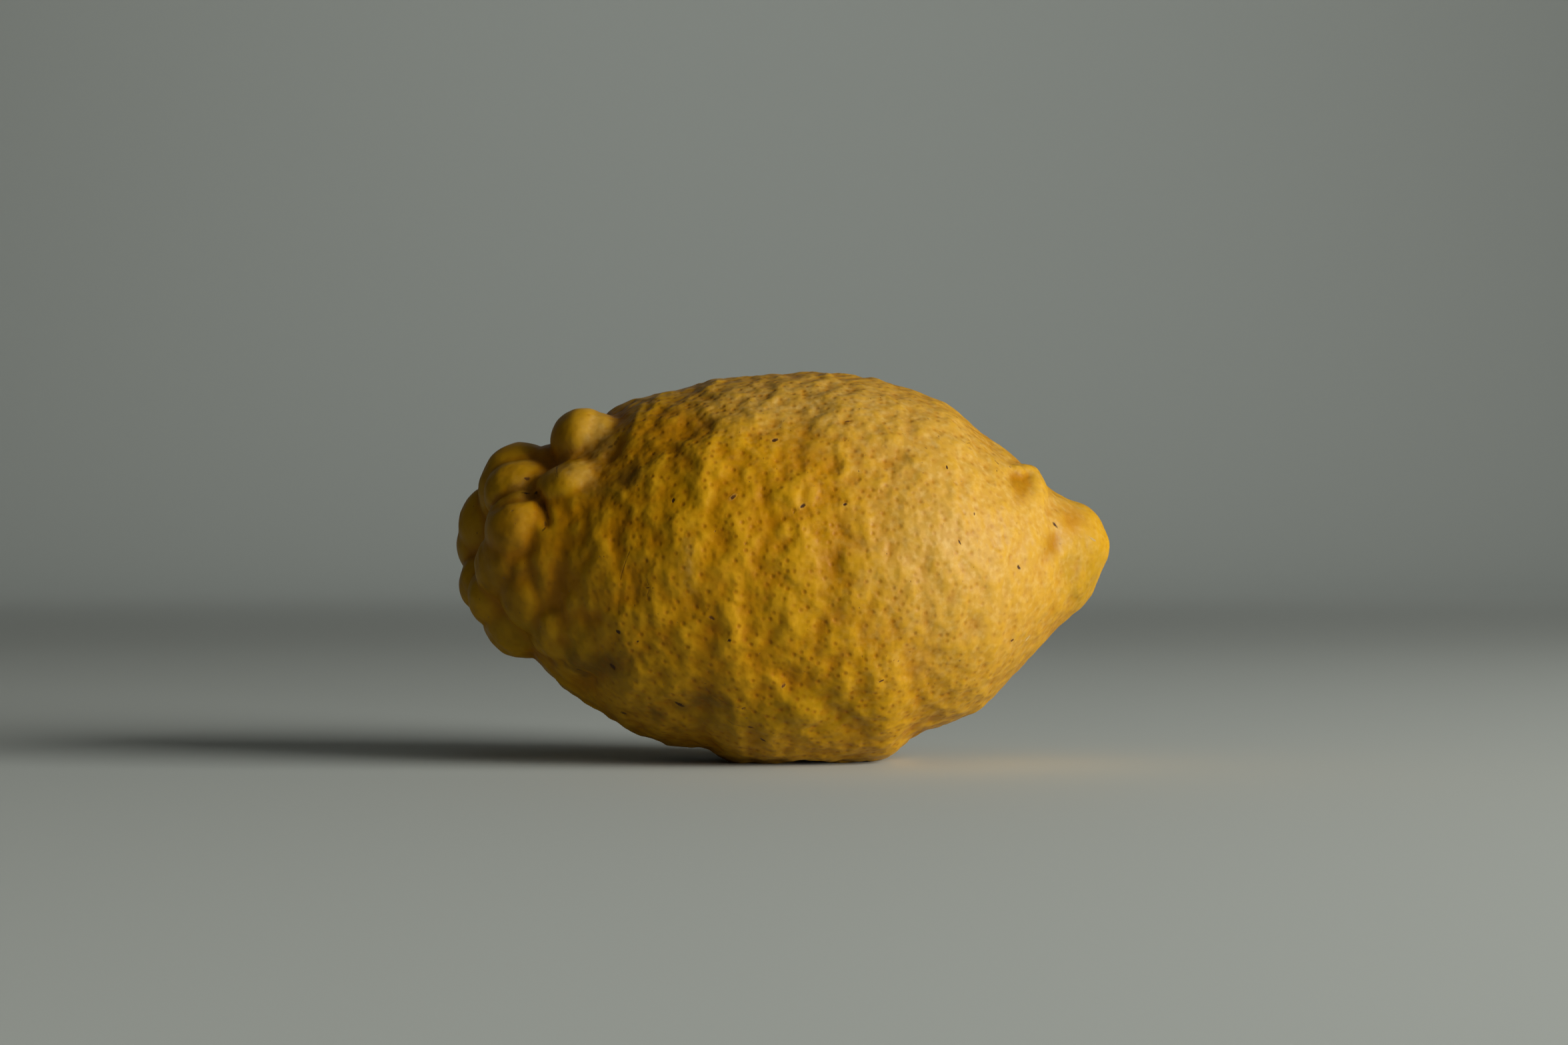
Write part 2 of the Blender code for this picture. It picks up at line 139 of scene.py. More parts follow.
# Swellings (positive height) and hollows of the near side: x, z, half width, half height, turn, height.
NEAR_SWELLINGS = (
    (-17.0, 42.0, 3.0, 4.8, 0, 0.63),
    (2.6, 39.0, 2.8, 6.0, 0, 0.8),
    (-8.0, 36.0, 2.6, 4.4, 0, 0.42),
    (-14.0, 54.0, 3.8, 3.8, 10, 0.56),
    (-10.0, 59.5, 3.8, 2.8, -20, 0.49),
    (-33.4, 38.5, 3.2, 6.0, 8, 0.9),
    (-38.0, 26.5, 2.6, 5.0, -8, 0.7),
    (-28.8, 27.0, 3.0, 4.6, 0, 0.6),
    (19.0, 33.5, 2.3, 6.2, 28, 0.42),
    (1.0, 28.0, 2.8, 4.4, 0, 0.5),
    (4.0, 11.6, 4.0, 2.8, 24, 0.8),
    (0.0, 5.0, 4.0, 3.2, 0, 0.49),
    (2.0, 51.0, 3.6, 3.4, 0, 0.35),
    (25.0, 44.0, 3.2, 5.0, 0, 0.28),
    (32.0, 48.0, 3.6, 4.0, 0, 0.4),
    (28.0, 12.0, 4.0, 2.8, -14, 0.35),
    (-23.4, 51.5, 2.2, 3.6, 0, 0.35),
    (-7.4, 44.5, 2.6, 4.0, 0, 0.5),
    (13.0, 34.5, 2.6, 5.5, -15, 0.5),
    (0.4, 48.0, 2.0, 2.4, 0, 0.4),
    (-9.2, 23.4, 2.4, 4.4, 0, 0.55),
    (-16.4, 22.8, 2.2, 4.0, 0, 0.5),
    (-26.4, 15.0, 2.6, 2.4, -20, 0.5),
    (-5.0, 62.4, 2.8, 2.6, 0, 0.45),
    (10.8, 65.0, 2.8, 2.2, 0, 0.5),
    (27.4, 17.4, 3.0, 3.0, 0, 0.35),
    (38.2, 22.0, 3.0, 2.6, 20, 0.4),
    (-36.0, 20.5, 2.8, 2.8, 0, 1.0),
    (-28.0, 53.6, 3.0, 2.6, 0, -0.2),
    (-19.0, 48.4, 1.8, 3.0, 0, -0.28),
    (-12.3, 44.5, 1.8, 4.0, 0, -0.5),
    (2.5, 56.5, 2.2, 4.6, 0, -0.4),
    (7.0, 26.0, 1.8, 4.4, -10, -0.5),
    (-26.0, 33.0, 2.2, 3.6, 10, -0.42),
    (-15.0, 28.0, 2.4, 3.4, 0, -0.35),
    (2.6, 20.0, 2.8, 3.2, 0, -0.42),
    (-19.0, 10.8, 3.0, 1.8, 0, -0.56),
    (-13.6, 12.0, 2.6, 2.4, 0, -0.42),
    (24.0, 20.0, 3.6, 2.6, 0, -0.42),
    (9.4, 34.5, 2.2, 5.6, 0, -0.35),
    (18.6, 25.0, 2.0, 4.4, -10, -0.35),
    (14.0, 25.0, 2.0, 3.4, 0, -0.28),
    (-5.6, 29.0, 2.0, 5.0, 0, -0.35),
    (33.6, 25.6, 3.0, 3.2, 0, -0.45),
    (20.0, 54.4, 2.6, 3.2, 0, -0.35),
    (-35.0, 15.6, 2.8, 1.9, 20, -1.2),
    (-40.8, 34.0, 1.8, 6.4, 0, -0.6),
    (42.8, 53.9, 2.6, 0.8, 0, 0.5),
    (45.8, 49.6, 1.7, 3.4, 8, 0.9),
    (49.4, 41.0, 1.7, 2.0, 20, -0.4),
    (52.0, 36.0, 1.9, 2.6, -20, -0.8),
)
# Furrows of the near side: points (x, z), half width, depth.
NEAR_FURROWS = (
    (((2.4, 16.0), (6.0, 13.8), (9.0, 11.0), (12.0, 8.2)), 2.2, 0.75),
    (((-29.0, 55.5), (-24.0, 58.2), (-19.0, 60.4), (-14.5, 61.6)), 2.6, 0.8),
    (((-31.4, 56.4), (-29.8, 57.6), (-29.0, 59.2)), 0.9, 0.7),
    (((-43.2, 48.2), (-42.5, 46.2), (-42.1, 44.2)), 0.9, 0.9),
    (((48.2, 45.6), (48.9, 43.0), (48.6, 40.0), (47.4, 37.4)), 1.6, 0.4),
    (((-53.0, 46.6), (-50.0, 48.4), (-46.6, 49.0), (-44.2, 49.6)), 1.0, 0.9),
)
# Swellings and hollows of the far side, the top and the underside: centre, radius, height.
FAR_SWELLINGS = (
    ((-20.0, 33.0, 50.0), 7.0, 1.1),
    ((-4.0, 36.0, 30.0), 8.0, 0.9),
    ((14.0, 35.0, 48.0), 7.0, 0.9),
    ((24.0, 33.0, 26.0), 6.0, 0.9),
    ((-28.0, 29.0, 26.0), 6.0, 1.1),
    ((6.0, 28.0, 60.0), 5.0, -1.0),
    ((-12.0, 30.0, 18.0), 5.0, -1.0),
    ((33.0, 24.0, 46.0), 5.0, -0.9),
    ((-33.0, 26.0, 40.0), 4.5, -1.2),
    ((12.0, -14.0, 66.0), 3.2, -0.9),
    ((-24.0, 6.0, 67.0), 5.0, 0.3),
    ((-8.6, 22.0, 62.0), 5.5, 0.8),
    ((4.3, 0.0, -0.6), 3.3, -2.2),
    ((4.3, -7.0, 0.2), 3.3, -2.2),
    ((4.3, 7.0, 0.2), 3.3, -2.2),
    ((23.4, -4.0, 4.8), 3.0, -0.5),
)

# Low undulations over the whole rind: wavelength along X, wavelength round the body, height.
UNDULATIONS = ((34.0, 40.0, 0.5), (15.0, 22.0, 0.35))
# Rounded lumps with narrow dips between them: the same three numbers.
LUMPS = ((9.6, 16.0, 0.4), (6.4, 9.0, 0.35))
# How far the dips are rounded, as a value of their noise.
DIP_WIDTH = 0.1
# Strength of both along X: plainest on the middle, faint towards the nipple.
RELIEF_ALONG = ((-60.0, -44.0, -35.0, 4.0, 20.0, 36.0, 60.0), (0.3, 0.4, 1.0, 1.0, 0.6, 0.3, 0.4))
# Pebbling, finer than the solid holds: the same three numbers.
PEBBLES = ((3.4, 4.6, 0.36), (2.1, 2.6, 0.29))
# Strength of the pebbles along X.
PEBBLES_ALONG = ((-60.0, 8.0, 34.0, 60.0), (1.0, 1.0, 0.85, 0.6))
# Where the noises start. Each layer starts its draw number times as far from the origin.
GROWTH_SEED = Vector((11.3, 4.7, 8.1))
UNDULATION_DRAW = 1
PEBBLE_DRAW = 7
LUMP_DRAW = 11

# Grain of the skin, with its soft lobes and then with its crisp ones.
FORM_VOXEL = 1.0
RIND_VOXEL = 0.6
# Rounds of smoothing after each of the two, and how far a round goes.
SOFT_SMOOTHING = 9
CRISP_SMOOTHING = 7
SMOOTHING_SHARE = 0.5
# Thickness that the smoothing takes off, given back.
SKIN_REGAIN = 0.3
# How soon the rind counts as facing the camera, and how fast an oval of the near side fades.
FACING_GAIN = 2.5
OVAL_FALLOFF = 0.7
# Rounds of softening for the neighbourhoods that hollows are measured against.
FINE_ROUNDS = 12
BROAD_ROUNDS = 110

# Oil glands: least distance between two, from close to loose; width of a pit; its depth.
GLAND_SPACING = (1.1, 1.6)
GLAND_WIDTH = 0.75
GLAND_DEPTH = 0.11
# Square roots of the faintest and the plainest strength.
GLAND_ROOTS = (0.3, 1.0)
# Strength of the glands along X.
GLANDS_ALONG = ((-46.0, -36.0, -27.0, 12.0, 34.0, 52.0), (0.25, 0.4, 1.0, 1.0, 0.7, 0.35))
GLAND_SEED = 41

# Where the rind is smooth: centre, radius.
SMOOTH_SKIN = (
    ((-46.5, -17.0, 43.0), 9.5),
    ((-47.5, -14.0, 32.0), 9.5),
    ((-47.0, -4.0, 52.0), 10.0),
    ((-50.0, 8.0, 40.0), 14.0),
    ((-37.0, -10.0, 60.0), 7.5),
    ((-38.0, -18.0, 50.0), 7.0),
    ((-34.0, 22.0, 51.0), 7.0),
    ((45.0, -8.0, 52.0), 5.0),
    ((57.0, -3.0, 41.0), 7.0),
)
# Share of the liveliness that it lacks there.
SMOOTH_SKIN_CALM = 0.75

# Tints of the near side: x, z, half width, half height, turn, strength.
NEAR_GREEN = (
    (-51.5, 34.6, 3.0, 3.5, 0, 0.8),
    (-45.3, 30.5, 4.0, 5.5, -20, 0.7),
    (-35.5, 21.5, 3.2, 5.0, 10, 0.6),
    (-40.0, 49.6, 4.0, 3.0, 0, 0.6),
    (-48.5, 23.5, 5.0, 3.4, 0, 0.9),
    (-30.0, 48.4, 2.6, 4.0, 0, 0.5),
    (-8.0, 9.0, 12.0, 4.0, 0, 0.45),
    (-25.0, 17.0, 9.0, 6.0, -25, 0.45),
    (9.0, 12.0, 8.0, 4.0, 0, 0.4),
    (53.0, 36.5, 1.8, 2.6, -20, 0.5),
    (55.4, 35.0, 3.6, 5.6, -15, 1.0),
    (52.5, 42.0, 5.0, 6.0, 0, 0.5),
    (6.0, 9.0, 18.0, 6.0, 0, 0.4),
)
# Golden: the rind's deeper orange, and painted shade on the lobes, on the knob's left face and on the
# nipple.
NEAR_GOLDEN_AND_SHADE = (
    (-22.0, 61.0, 9.0, 4.5, 15, 0.7),
    (-40.2, 60.5, 2.4, 4.0, 0, 0.6),
    (52.3, 44.5, 2.6, 3.2, 20, 0.5),
    (4.0, 58.0, 3.5, 5.5, 0, 0.5),
    (-12.0, 30.0, 4.0, 12.0, 0, 0.4),
    (10.0, 38.0, 4.0, 12.0, 8, 0.4),
    (-47.0, 39.0, 8.0, 14.0, 0, 0.8),
    (54.0, 44.0, 4.0, 4.0, 0, 0.3),
)
NEAR_WARM = (
    (-36.0, 40.0, 16.0, 20.0, 0, 1.0),
)
# Amber: painted shade under the horn's fold, in the nipple's hollow and in the collar's crevices, with
# the rind's own deeper tone.
NEAR_AMBER_AND_SHADE = (
    (43.4, 51.6, 2.6, 2.0, 0, 0.85),
    (43.0, 48.6, 1.6, 3.0, 0, 0.4),
    (49.4, 40.8, 2.4, 2.2, 30, 0.6),
    (48.2, 38.8, 2.0, 1.8, 40, 0.35),
    (-41.0, 55.4, 1.4, 1.4, 0, 0.6),
    (-44.0, 47.0, 1.2, 3.0, 20, 0.5),
    (-37.6, 32.0, 1.6, 9.0, 8, 0.5),
)
# Tan: painted sheen and highlights on the knob, the lobes, the top and the side towards the nipple.
NEAR_PAINTED_SHEEN = (
    (-33.5, 60.0, 3.4, 4.4, 0, 0.9),
    (-36.2, 52.6, 3.6, 2.2, -30, 0.7),
    (-46.6, 50.8, 3.0, 2.0, 10, 0.6),
    (-46.4, 43.8, 2.2, 3.4, 0, 0.6),
    (1.0, 67.0, 15.0, 4.0, 0, 0.8),
    (4.0, 63.0, 24.0, 7.0, 0, 0.35),
    (34.0, 44.0, 19.0, 29.0, 0, 1.0),
    (52.0, 45.0, 5.0, 5.0, 0, 0.4),
    (-16.0, 37.0, 1.2, 5.0, 3, 0.5),
)
# Dark patches: darker brown patches, with painted shade in the valley beside the knob and on the lobes.
NEAR_DARK_PATCHES_AND_SHADE = (
    (-22.0, 13.0, 15.0, 7.0, -25, 0.4),
    (-47.0, 39.0, 9.0, 15.0, 0, 0.34),
    (-26.4, 52.8, 2.2, 1.8, 30, 0.7),
    (-30.0, 50.6, 4.6, 2.0, 40, 0.55),
    (-30.4, 18.9, 2.0, 2.2, -40, 0.7),
    (-36.2, 18.2, 2.2, 1.6, -30, 0.9),
    (-22.0, 9.6, 1.6, 1.2, 0, 0.5),
    (-12.6, 12.5, 3.0, 1.4, -25, 0.6),
)
# Tints of the other sides: centre, radius, strength.
FAR_GREEN = (
    ((-30.0, 24.0, 26.0), 9.0, 0.7),
    ((10.0, 20.0, 6.0), 12.0, 0.6),
    ((-46.0, 12.0, 26.0), 8.0, 0.7),
)
FAR_GOLDEN = (
    ((-16.0, 24.0, 60.0), 11.0, 0.6),
    ((12.0, 36.0, 32.0), 9.0, 0.5),
    ((36.0, 22.0, 44.0), 8.0, 0.4),
)
FAR_WARM = (
    ((-36.0, 10.0, 40.0), 24.0, 0.8),
)
# Amber: painted shade in hollows of the collar and the horn, with the rind's own deeper tone.
FAR_AMBER_AND_SHADE = (
    ((-40.0, 18.0, 44.0), 4.0, 0.7),
    ((44.0, 12.0, 46.0), 3.0, 0.8),
)
# Tan: painted sheen on the top and the upper sides.
FAR_PAINTED_SHEEN = (
    ((0.0, 20.0, 66.0), 12.0, 0.5),
    ((28.0, 28.0, 50.0), 12.0, 0.4),
    ((-36.0, 20.0, 52.0), 6.0, 0.7),
)
FAR_DARK_PATCHES = (
    ((-24.0, 30.0, 50.0), 3.5, 0.7),
    ((20.0, 32.0, 18.0), 3.0, 0.6),
)

# Marks as the camera sees them: across, up, half length, half width, turn, tone, pale rim.
# Tone 0 is a dark scar, 0.5 a brown one, 1 a pale one.
MARKS = (
    (-37.3, 16.8, 0.7, 0.4, -20, 0.0, 0.0),
    (-31.1, 17.4, 0.8, 0.5, -40, 0.1, 0.0),
    (-29.0, 8.8, 0.6, 0.4, 0, 0.1, 0.0),
    (-1.2, 59.2, 0.62, 0.4, 40, 0.1, 0.2),
    (-19.9, 48.1, 0.5, 0.28, 85, 0.0, 0.0),
    (-8.9, 48.7, 0.62, 0.3, 48, 0.25, 0.4),
    (4.0, 47.1, 0.62, 0.34, 45, 0.0, 0.2),
    (11.8, 47.3, 0.4, 0.3, 30, 0.0, 0.2),
    (30.6, 54.2, 0.42, 0.26, 80, 0.1, 0.0),
    (35.7, 45.6, 0.32, 0.2, 70, 0.3, 0.2),
    (33.0, 40.3, 0.5, 0.16, -60, 0.1, 0.0),
    (50.6, 43.6, 0.72, 0.32, -32, 0.0, 0.2),
    (43.9, 35.7, 0.6, 0.32, -40, 0.1, 0.7),
    (39.9, 55.1, 0.6, 0.2, -50, 0.4, 0.0),
    (42.7, 22.2, 0.4, 0.3, 0, 0.4, 0.4),
    (45.6, 22.6, 0.6, 0.3, 30, 1.0, 0.3),
    (-30.1, 23.8, 0.55, 0.45, 0, 0.05, 0.0),
    (-9.6, 22.2, 0.42, 0.3, 30, 0.0, 0.0),
    (-12.9, 26.4, 0.6, 0.3, -30, 0.4, 0.0),
    (-18.8, 10.4, 1.1, 0.5, -38, 0.0, 0.0),
    (0.4, 13.8, 0.45, 0.26, 60, 0.45, 0.2),
    (18.5, 14.7, 0.5, 0.2, 20, 0.3, 0.2),
    (-46.9, 52.1, 0.6, 0.4, -20, 0.45, 0.0),
    (-45.2, 49.5, 0.5, 0.35, 0, 0.0, 0.0),
    (-47.1, 49.4, 0.8, 0.25, 5, 0.05, 0.0),
    (12.3, 62.7, 0.6, 0.2, 15, 0.5, 0.0),
    (-5.7, 6.2, 0.7, 0.3, -20, 0.2, 0.0),
    (-3.3, 3.8, 0.7, 0.3, -35, 0.2, 0.0),
    (-7.0, 9.6, 0.5, 0.25, 20, 0.3, 0.0),
    (57.6, 40.9, 0.9, 0.25, -10, 0.8, 0.0),
    (-26.5, 22.0, 0.3, 0.2, 40, 0.2, 0.0),
    (-24.4, 31.9, 0.9, 0.14, 0, 0.5, 0.0),
)
# Cracks as the camera sees them: points, half width, tone.
CRACKS = (
    (((-28.0, 38.6), (-28.6, 37.2), (-29.0, 36.0), (-29.5, 34.4), (-29.7, 33.4)), 0.11, 0.5),
    (((-24.9, 33.6), (-24.3, 31.9), (-24.9, 30.0)), 0.09, 0.5),
    (((-14.1, 13.7), (-13.0, 12.4), (-11.9, 11.5), (-10.4, 10.7), (-8.8, 10.0), (-6.3, 9.3)), 0.12, 0.45),
    (((-10.0, 7.5), (-8.6, 6.6), (-7.2, 6.3)), 0.12, 0.45),
    (((-43.9, 47.4), (-43.2, 46.0), (-42.9, 44.6)), 0.28, 0.0),
    (((-43.6, 44.2), (-43.5, 43.2), (-44.2, 42.4)), 0.2, 0.1),
    (((-32.0, 57.9), (-31.0, 58.2), (-30.2, 59.2), (-30.0, 59.9)), 0.3, 0.05),
    (((-41.2, 54.6), (-41.8, 53.6), (-41.6, 52.6)), 0.16, 0.2),
    (((33.2, 59.4), (34.2, 58.6), (35.0, 58.8)), 0.08, 0.5),
    (((36.2, 41.0), (36.6, 39.4), (36.5, 37.8)), 0.08, 0.9),
)
# Half length of a crack's piece, as a share of the distance between its two points.
CRACK_OVERLAP = 0.62
CRACK_STRENGTH = 0.55
# Freckles: their number, their half width, how many times longer they are, their tone and strength.
FRECKLES = 440
FRECKLE_SIZE = (0.07, 0.16)
FRECKLE_STRETCH = (1.0, 2.0)
FRECKLE_LOOK = (0.25, 0.75)
MARK_SEED = 17
# How far from a mark a face's middle may lie for the face to draw it: half sizes, and millimetres more.
MARK_REACH = 2.2
MARK_MARGIN = 0.6
# What a face without a mark keeps: a place far below the fruit, two axes and an empty look.
NO_MARK = (0.0, 0.0, -999.0, 1.0, 0.0, 0.0, 0.0, 0.0, 1.0, 0.0, 0.0, 0.0)

# Where the camera stands, in millimetres.
CAMERA_PLACE = (0.55, -684.0, 44.0)

# Colours of the rind and its marks.
OCHRE = (0.44, 0.197, 0.0006, 1)
MUSTARD = (0.44, 0.216, 0.0008, 1)
GOLDEN = (0.36, 0.138, 0.0003, 1)
# Orange-brown of hollows: painted shade and the rind's own deeper tone.
AMBER_AND_SHADE = (0.33, 0.142, 0.0003, 1)
WARM_OCHRE = (0.49, 0.202, 0.0003, 1)
MOSS = (0.35, 0.19, 0.0006, 1)
# Painted highlight on the humps of the rind.
HUMP_HIGHLIGHT = (0.54, 0.285, 0.006, 1)
# Brown of the deepest creases: dirt and painted shade.
CREASE_DIRT_AND_SHADE = (0.19, 0.064, 0.001, 1)
# Dark brown patches, partly painted shade.
DARK_PATCH_AND_SHADE = (0.13, 0.065, 0.006, 1)
# Painted sheen and highlights of the waxy rind.
SHEEN_TAN = (0.50, 0.29, 0.05, 1)
# Pale flecks of wax, drawn where the sheen is painted.
PALE_HAZE = (0.62, 0.42, 0.13, 1)
GLAND_BROWN = (0.27, 0.095, 0.001, 1)
SCAR_DARK = (0.058, 0.024, 0.008, 1)
SCAR_BROWN = (0.15, 0.058, 0.012, 1)
SCAR_PALE = (0.52, 0.36, 0.13, 1)

# Each tint: its places on the near side and on the others, its tone, its most cover, its raggedness.
TINTS = {
    # Tan is painted sheen; golden, amber and the dark patches are partly painted shade.
    "warm": (NEAR_WARM, FAR_WARM, WARM_OCHRE, 0.9, 0.5),
    "green": (NEAR_GREEN, FAR_GREEN, MOSS, 0.9, 0.5),
    "tan": (NEAR_PAINTED_SHEEN, FAR_PAINTED_SHEEN, SHEEN_TAN, 0.7, 0.5),
    "golden_and_shade": (NEAR_GOLDEN_AND_SHADE, FAR_GOLDEN, GOLDEN, 0.8, 0.5),
    "amber_and_shade": (NEAR_AMBER_AND_SHADE, FAR_AMBER_AND_SHADE, AMBER_AND_SHADE, 0.9, 0.5),
    "dark_patches_and_shade": (NEAR_DARK_PATCHES_AND_SHADE, FAR_DARK_PATCHES, DARK_PATCH_AND_SHADE, 0.75, 1.4),
}
# Strengths at which a tint begins and is full.
TINT_EDGE = (0.15, 0.95)

# Noises of the rind: grains a metre, detail, roughness.
CLOUDS = (55.0, 3.0, 0.5)
MOTTLING = (260.0, 3.0, 0.5)
WAX_FLECKS = (800.0, 2.0, 0.5)
DOT_FRAY_NOISE = (1500.0, 1.0, 0.5)
MARK_FRAY_NOISE = (1900.0, 3.0, 0.6)
DIMPLES = (520.0, 1.0, 0.45)
BLOOM = (2600.0, 2.0, 0.5)

# Layers of colour: the value where a layer begins, the value where it is full, its most cover.
# The first two go by a noise. The others go by how hollow the rind is there, in millimetres: painted
# shade in the hollows, dirt and painted shade in the creases, painted highlight on the humps.
MUSTARD_CLOUDS = (0.35, 0.65, 1.0)
GOLDEN_MOTTLES = (0.5, 0.72, 0.55)
# Painted shade in the broad hollows.
BROAD_HOLLOW_SHADE = (-0.02, 0.45, 0.75)
# Painted highlight on the broad humps.
BROAD_HUMP_HIGHLIGHTS = (0.02, -0.35, 0.6)
# Painted shade in the fine hollows.
FINE_HOLLOW_SHADE = (0.0, 0.14, 0.45)
# Painted highlight on the fine humps.
FINE_HUMP_HIGHLIGHTS = (0.0, -0.14, 0.4)
# Dirt and painted shade in the deepest creases.
CREASE_DIRT_AND_SHADE_SPAN = (0.18, 0.6, 1.0)
# Pale flecks of wax where the sheen is painted: where they begin and are full in their noise, and their
# cover.
FLECK_STEP = (0.42, 0.74)
FLECK_COVER = 0.45
# Cover of the golden tone in a gland's pit, which is the gland's own deeper tone and painted shade in the
# pit, and of a mark's pale rim.
PIT_COVER = 0.5
RIM_COVER = 0.35

# Gland dots, in millimetres from the gland: where they end, where they are darkest, how much they fray.
DOT_EDGE = 0.58
DOT_HEART = 0.02
DOT_FRAY = 0.16
# Cover of a dot where no sheen is painted, and where the sheen is painted.
DOT_COVER = (0.7, 0.4)
# Marks, in half sizes of the mark: where it ends and is full, the same for its rim, how much they fray.
MARK_STEP = (1.2, 0.5)
RIM_STEP = (1.9, 1.1)
MARK_FRAY = 1.6

# Relief too fine for the mesh, in millimetres.
DIMPLE_HEIGHT = 0.3
DOT_DEPTH = 0.08
MARK_DEPTH = 0.06
RIM_HEIGHT = 0.08
BLOOM_HEIGHT = 0.012

# Values of the mottling, the roughness of the rind at each, and the strength of its gloss.
GLOSS_MOTTLES = (0.3, 0.7)
ROUGHNESS = (0.4, 0.48)
SPECULAR = 0.12

# The studio, in metres, degrees and watts.
FLOOR_REACH = 3.0
BACKDROP_HEIGHT = 3.0
BACKDROP_BEND = 1.2
BACKDROP_SEGMENTS = 16
EDGE_MARGIN = 0.1
FLOOR_PAINT = (0.5, 0.54, 0.5, 1)
FLOOR_ROUGHNESS = 0.85
ROOM_LIGHT = (0.9, 0.88, 0.84, 1)
ROOM_STRENGTH = 0.03
FRUIT_MIDDLE = (0.0, 0.0, 0.035)
BACKDROP_FOOT = (0.0, 3.0, 0.3)
# Square soft lights: name, azimuth, elevation, distance, side, power, colour, aim.
# Azimuth 0 is the camera's side of the aim, and 90 is the nipple's.
LIGHTS = (
    ("window_side", 62, 11, 1.4, 1.0, 39.0, (1.0, 0.98, 0.95), FRUIT_MIDDLE),
    ("overhead", 40, 66, 1.4, 1.2, 1.0, (1.0, 0.99, 0.97), FRUIT_MIDDLE),
    ("backdrop", 0, 40, 1.6, 1.4, 5.0, (1.0, 1.0, 1.0), BACKDROP_FOOT),
)
# The lens and its sensor, in millimetres, and the nearest that it shows, in metres.
LENS = 85.0
SENSOR_WIDTH = 36.0
NEAREST_SHOWN = 0.01


def smooth_curve(knots_at, knots, at):
    """Cubic curve through the knots, with the slope at each from its two neighbours."""
    slopes = np.gradient(knots, knots_at)
    cell = np.clip(np.searchsorted(knots_at, at) - 1, 0, len(knots_at) - 2)
    width = knots_at[cell + 1] - knots_at[cell]
    t = (at - knots_at[cell]) / width
    start = (1 + 2 * t) * (1 - t) ** 2 * knots[cell]
    end = t * t * (3 - 2 * t) * knots[cell + 1]
    leave = t * (1 - t) ** 2 * width * slopes[cell]
    arrive = t * t * (t - 1) * width * slopes[cell + 1]
    return start + end + leave + arrive


def with_ends(column, end):
    """A column of the stations, with the value that it has at both ends of the body."""
    return np.concatenate(([end], column, [end]))


def body_form(bm):
    """A subdivided cube, blown up to a ball and drawn out to the stations of the body."""
    made = bmesh.ops.create_cube(bm, size=2.0)
    edges = list({edge for vert in made["verts"] for edge in vert.link_edges})
    bmesh.ops.subdivide_edges(bm, edges=edges, cuts=BODY_CUTS, use_grid_fill=True)
    middle = (BODY_START_X + BODY_END_X) / 2
    reach = (BODY_END_X - BODY_START_X) / 2
    stations = np.array(BODY_STATIONS)
    turns = np.concatenate(([0.0], np.arccos((middle - stations[:, 0]) / reach), [math.pi]))
    lows = with_ends(stations[:, 1], BODY_END_MID_Z)
    tops = with_ends(stations[:, 2], BODY_END_MID_Z)
    depths = with_ends(stations[:, 3], 0.0)
    for vert in bm.verts:
        cube = vert.co * (math.pi / 4)
        ball = Vector((math.tan(cube.x), math.tan(cube.y), math.tan(cube.z))).normalized()
        turn = np.array([math.acos(max(-1.0, min(1.0, -ball.x)))])
        low, top, depth = (smooth_curve(turns, knots, turn)[0] for knots in (lows, tops, depths))
        round_body = math.hypot(ball.y, ball.z) or 1.0
        vert.co.x = middle - reach * math.cos(turn[0])
        vert.co.y = depth * ball.y / round_body
        vert.co.z = (low + top) / 2 + (top - low) / 2 * ball.z / round_body


def add_lobes(bm, lobes):
    for _, centre, radii, tilt in lobes:
        place = Matrix.Translation(centre) @ Matrix.Rotation(math.radians(tilt), 4, "Y")
        place = place @ Matrix.Diagonal((*radii, 1.0))
        bmesh.ops.create_icosphere(bm, subdivisions=LOBE_SUBDIVISIONS, radius=1.0, matrix=place)


def placed_thing(name, data):
    """A new object in the scene, at the origin."""
    thing = bpy.data.objects.new(name, data)
    bpy.context.scene.collection.objects.link(thing)
    return thing


def grown_together(bm, voxel, smoothing):
    """Melts overlapping closed forms into one skin, then softens where they meet."""
    mesh = bpy.data.meshes.new("growing")
    bm.to_mesh(mesh)
    bm.free()
    thing = placed_thing("growing", mesh)
    melt = thing.modifiers.new("melt", "REMESH")
    melt.mode = "VOXEL"
    melt.voxel_size = voxel
    soften = thing.modifiers.new("soften", "SMOOTH")
    soften.factor = SMOOTHING_SHARE
    soften.iterations = smoothing
    depsgraph = bpy.context.evaluated_depsgraph_get()
    grown = bpy.data.meshes.new_from_object(thing.evaluated_get(depsgraph))
    bpy.data.objects.remove(thing, do_unlink=True)
    return grown


def grown_skin():
    """The body with its soft and then its crisp lobes, as one skin without relief."""
    bm = bmesh.new()
    body_form(bm)
    add_lobes(bm, SOFT_LOBES)
    soft = grown_together(bm, FORM_VOXEL, SOFT_SMOOTHING)
    bm = bmesh.new()
    bm.from_mesh(soft)
    add_lobes(bm, CRISP_LOBES)
    skin = grown_together(bm, RIND_VOXEL, CRISP_SMOOTHING)
    skin.name = "citron_rind"
    return skin


def numbers_of(things, name, size, kind=np.float32):
    """One property of many vertices, edges or faces, as an array."""
    numbers = np.empty(len(things) * size, kind)
    things.foreach_get(name, numbers)
    return numbers.reshape(-1, size)


def points_of(mesh):
    return numbers_of(mesh.vertices, "co", 3).astype(float)


def normals_of(mesh):
    return numbers_of(mesh.vertices, "normal", 3).astype(float)


def set_points(mesh, points):
    mesh.vertices.foreach_set("co", points.astype(np.float32).ravel())
    mesh.update()


def keep(mesh, name, values, domain="POINT"):
    attribute = mesh.attributes.new(name, "FLOAT", domain)
    attribute.data.foreach_set("value", values.astype(np.float32))


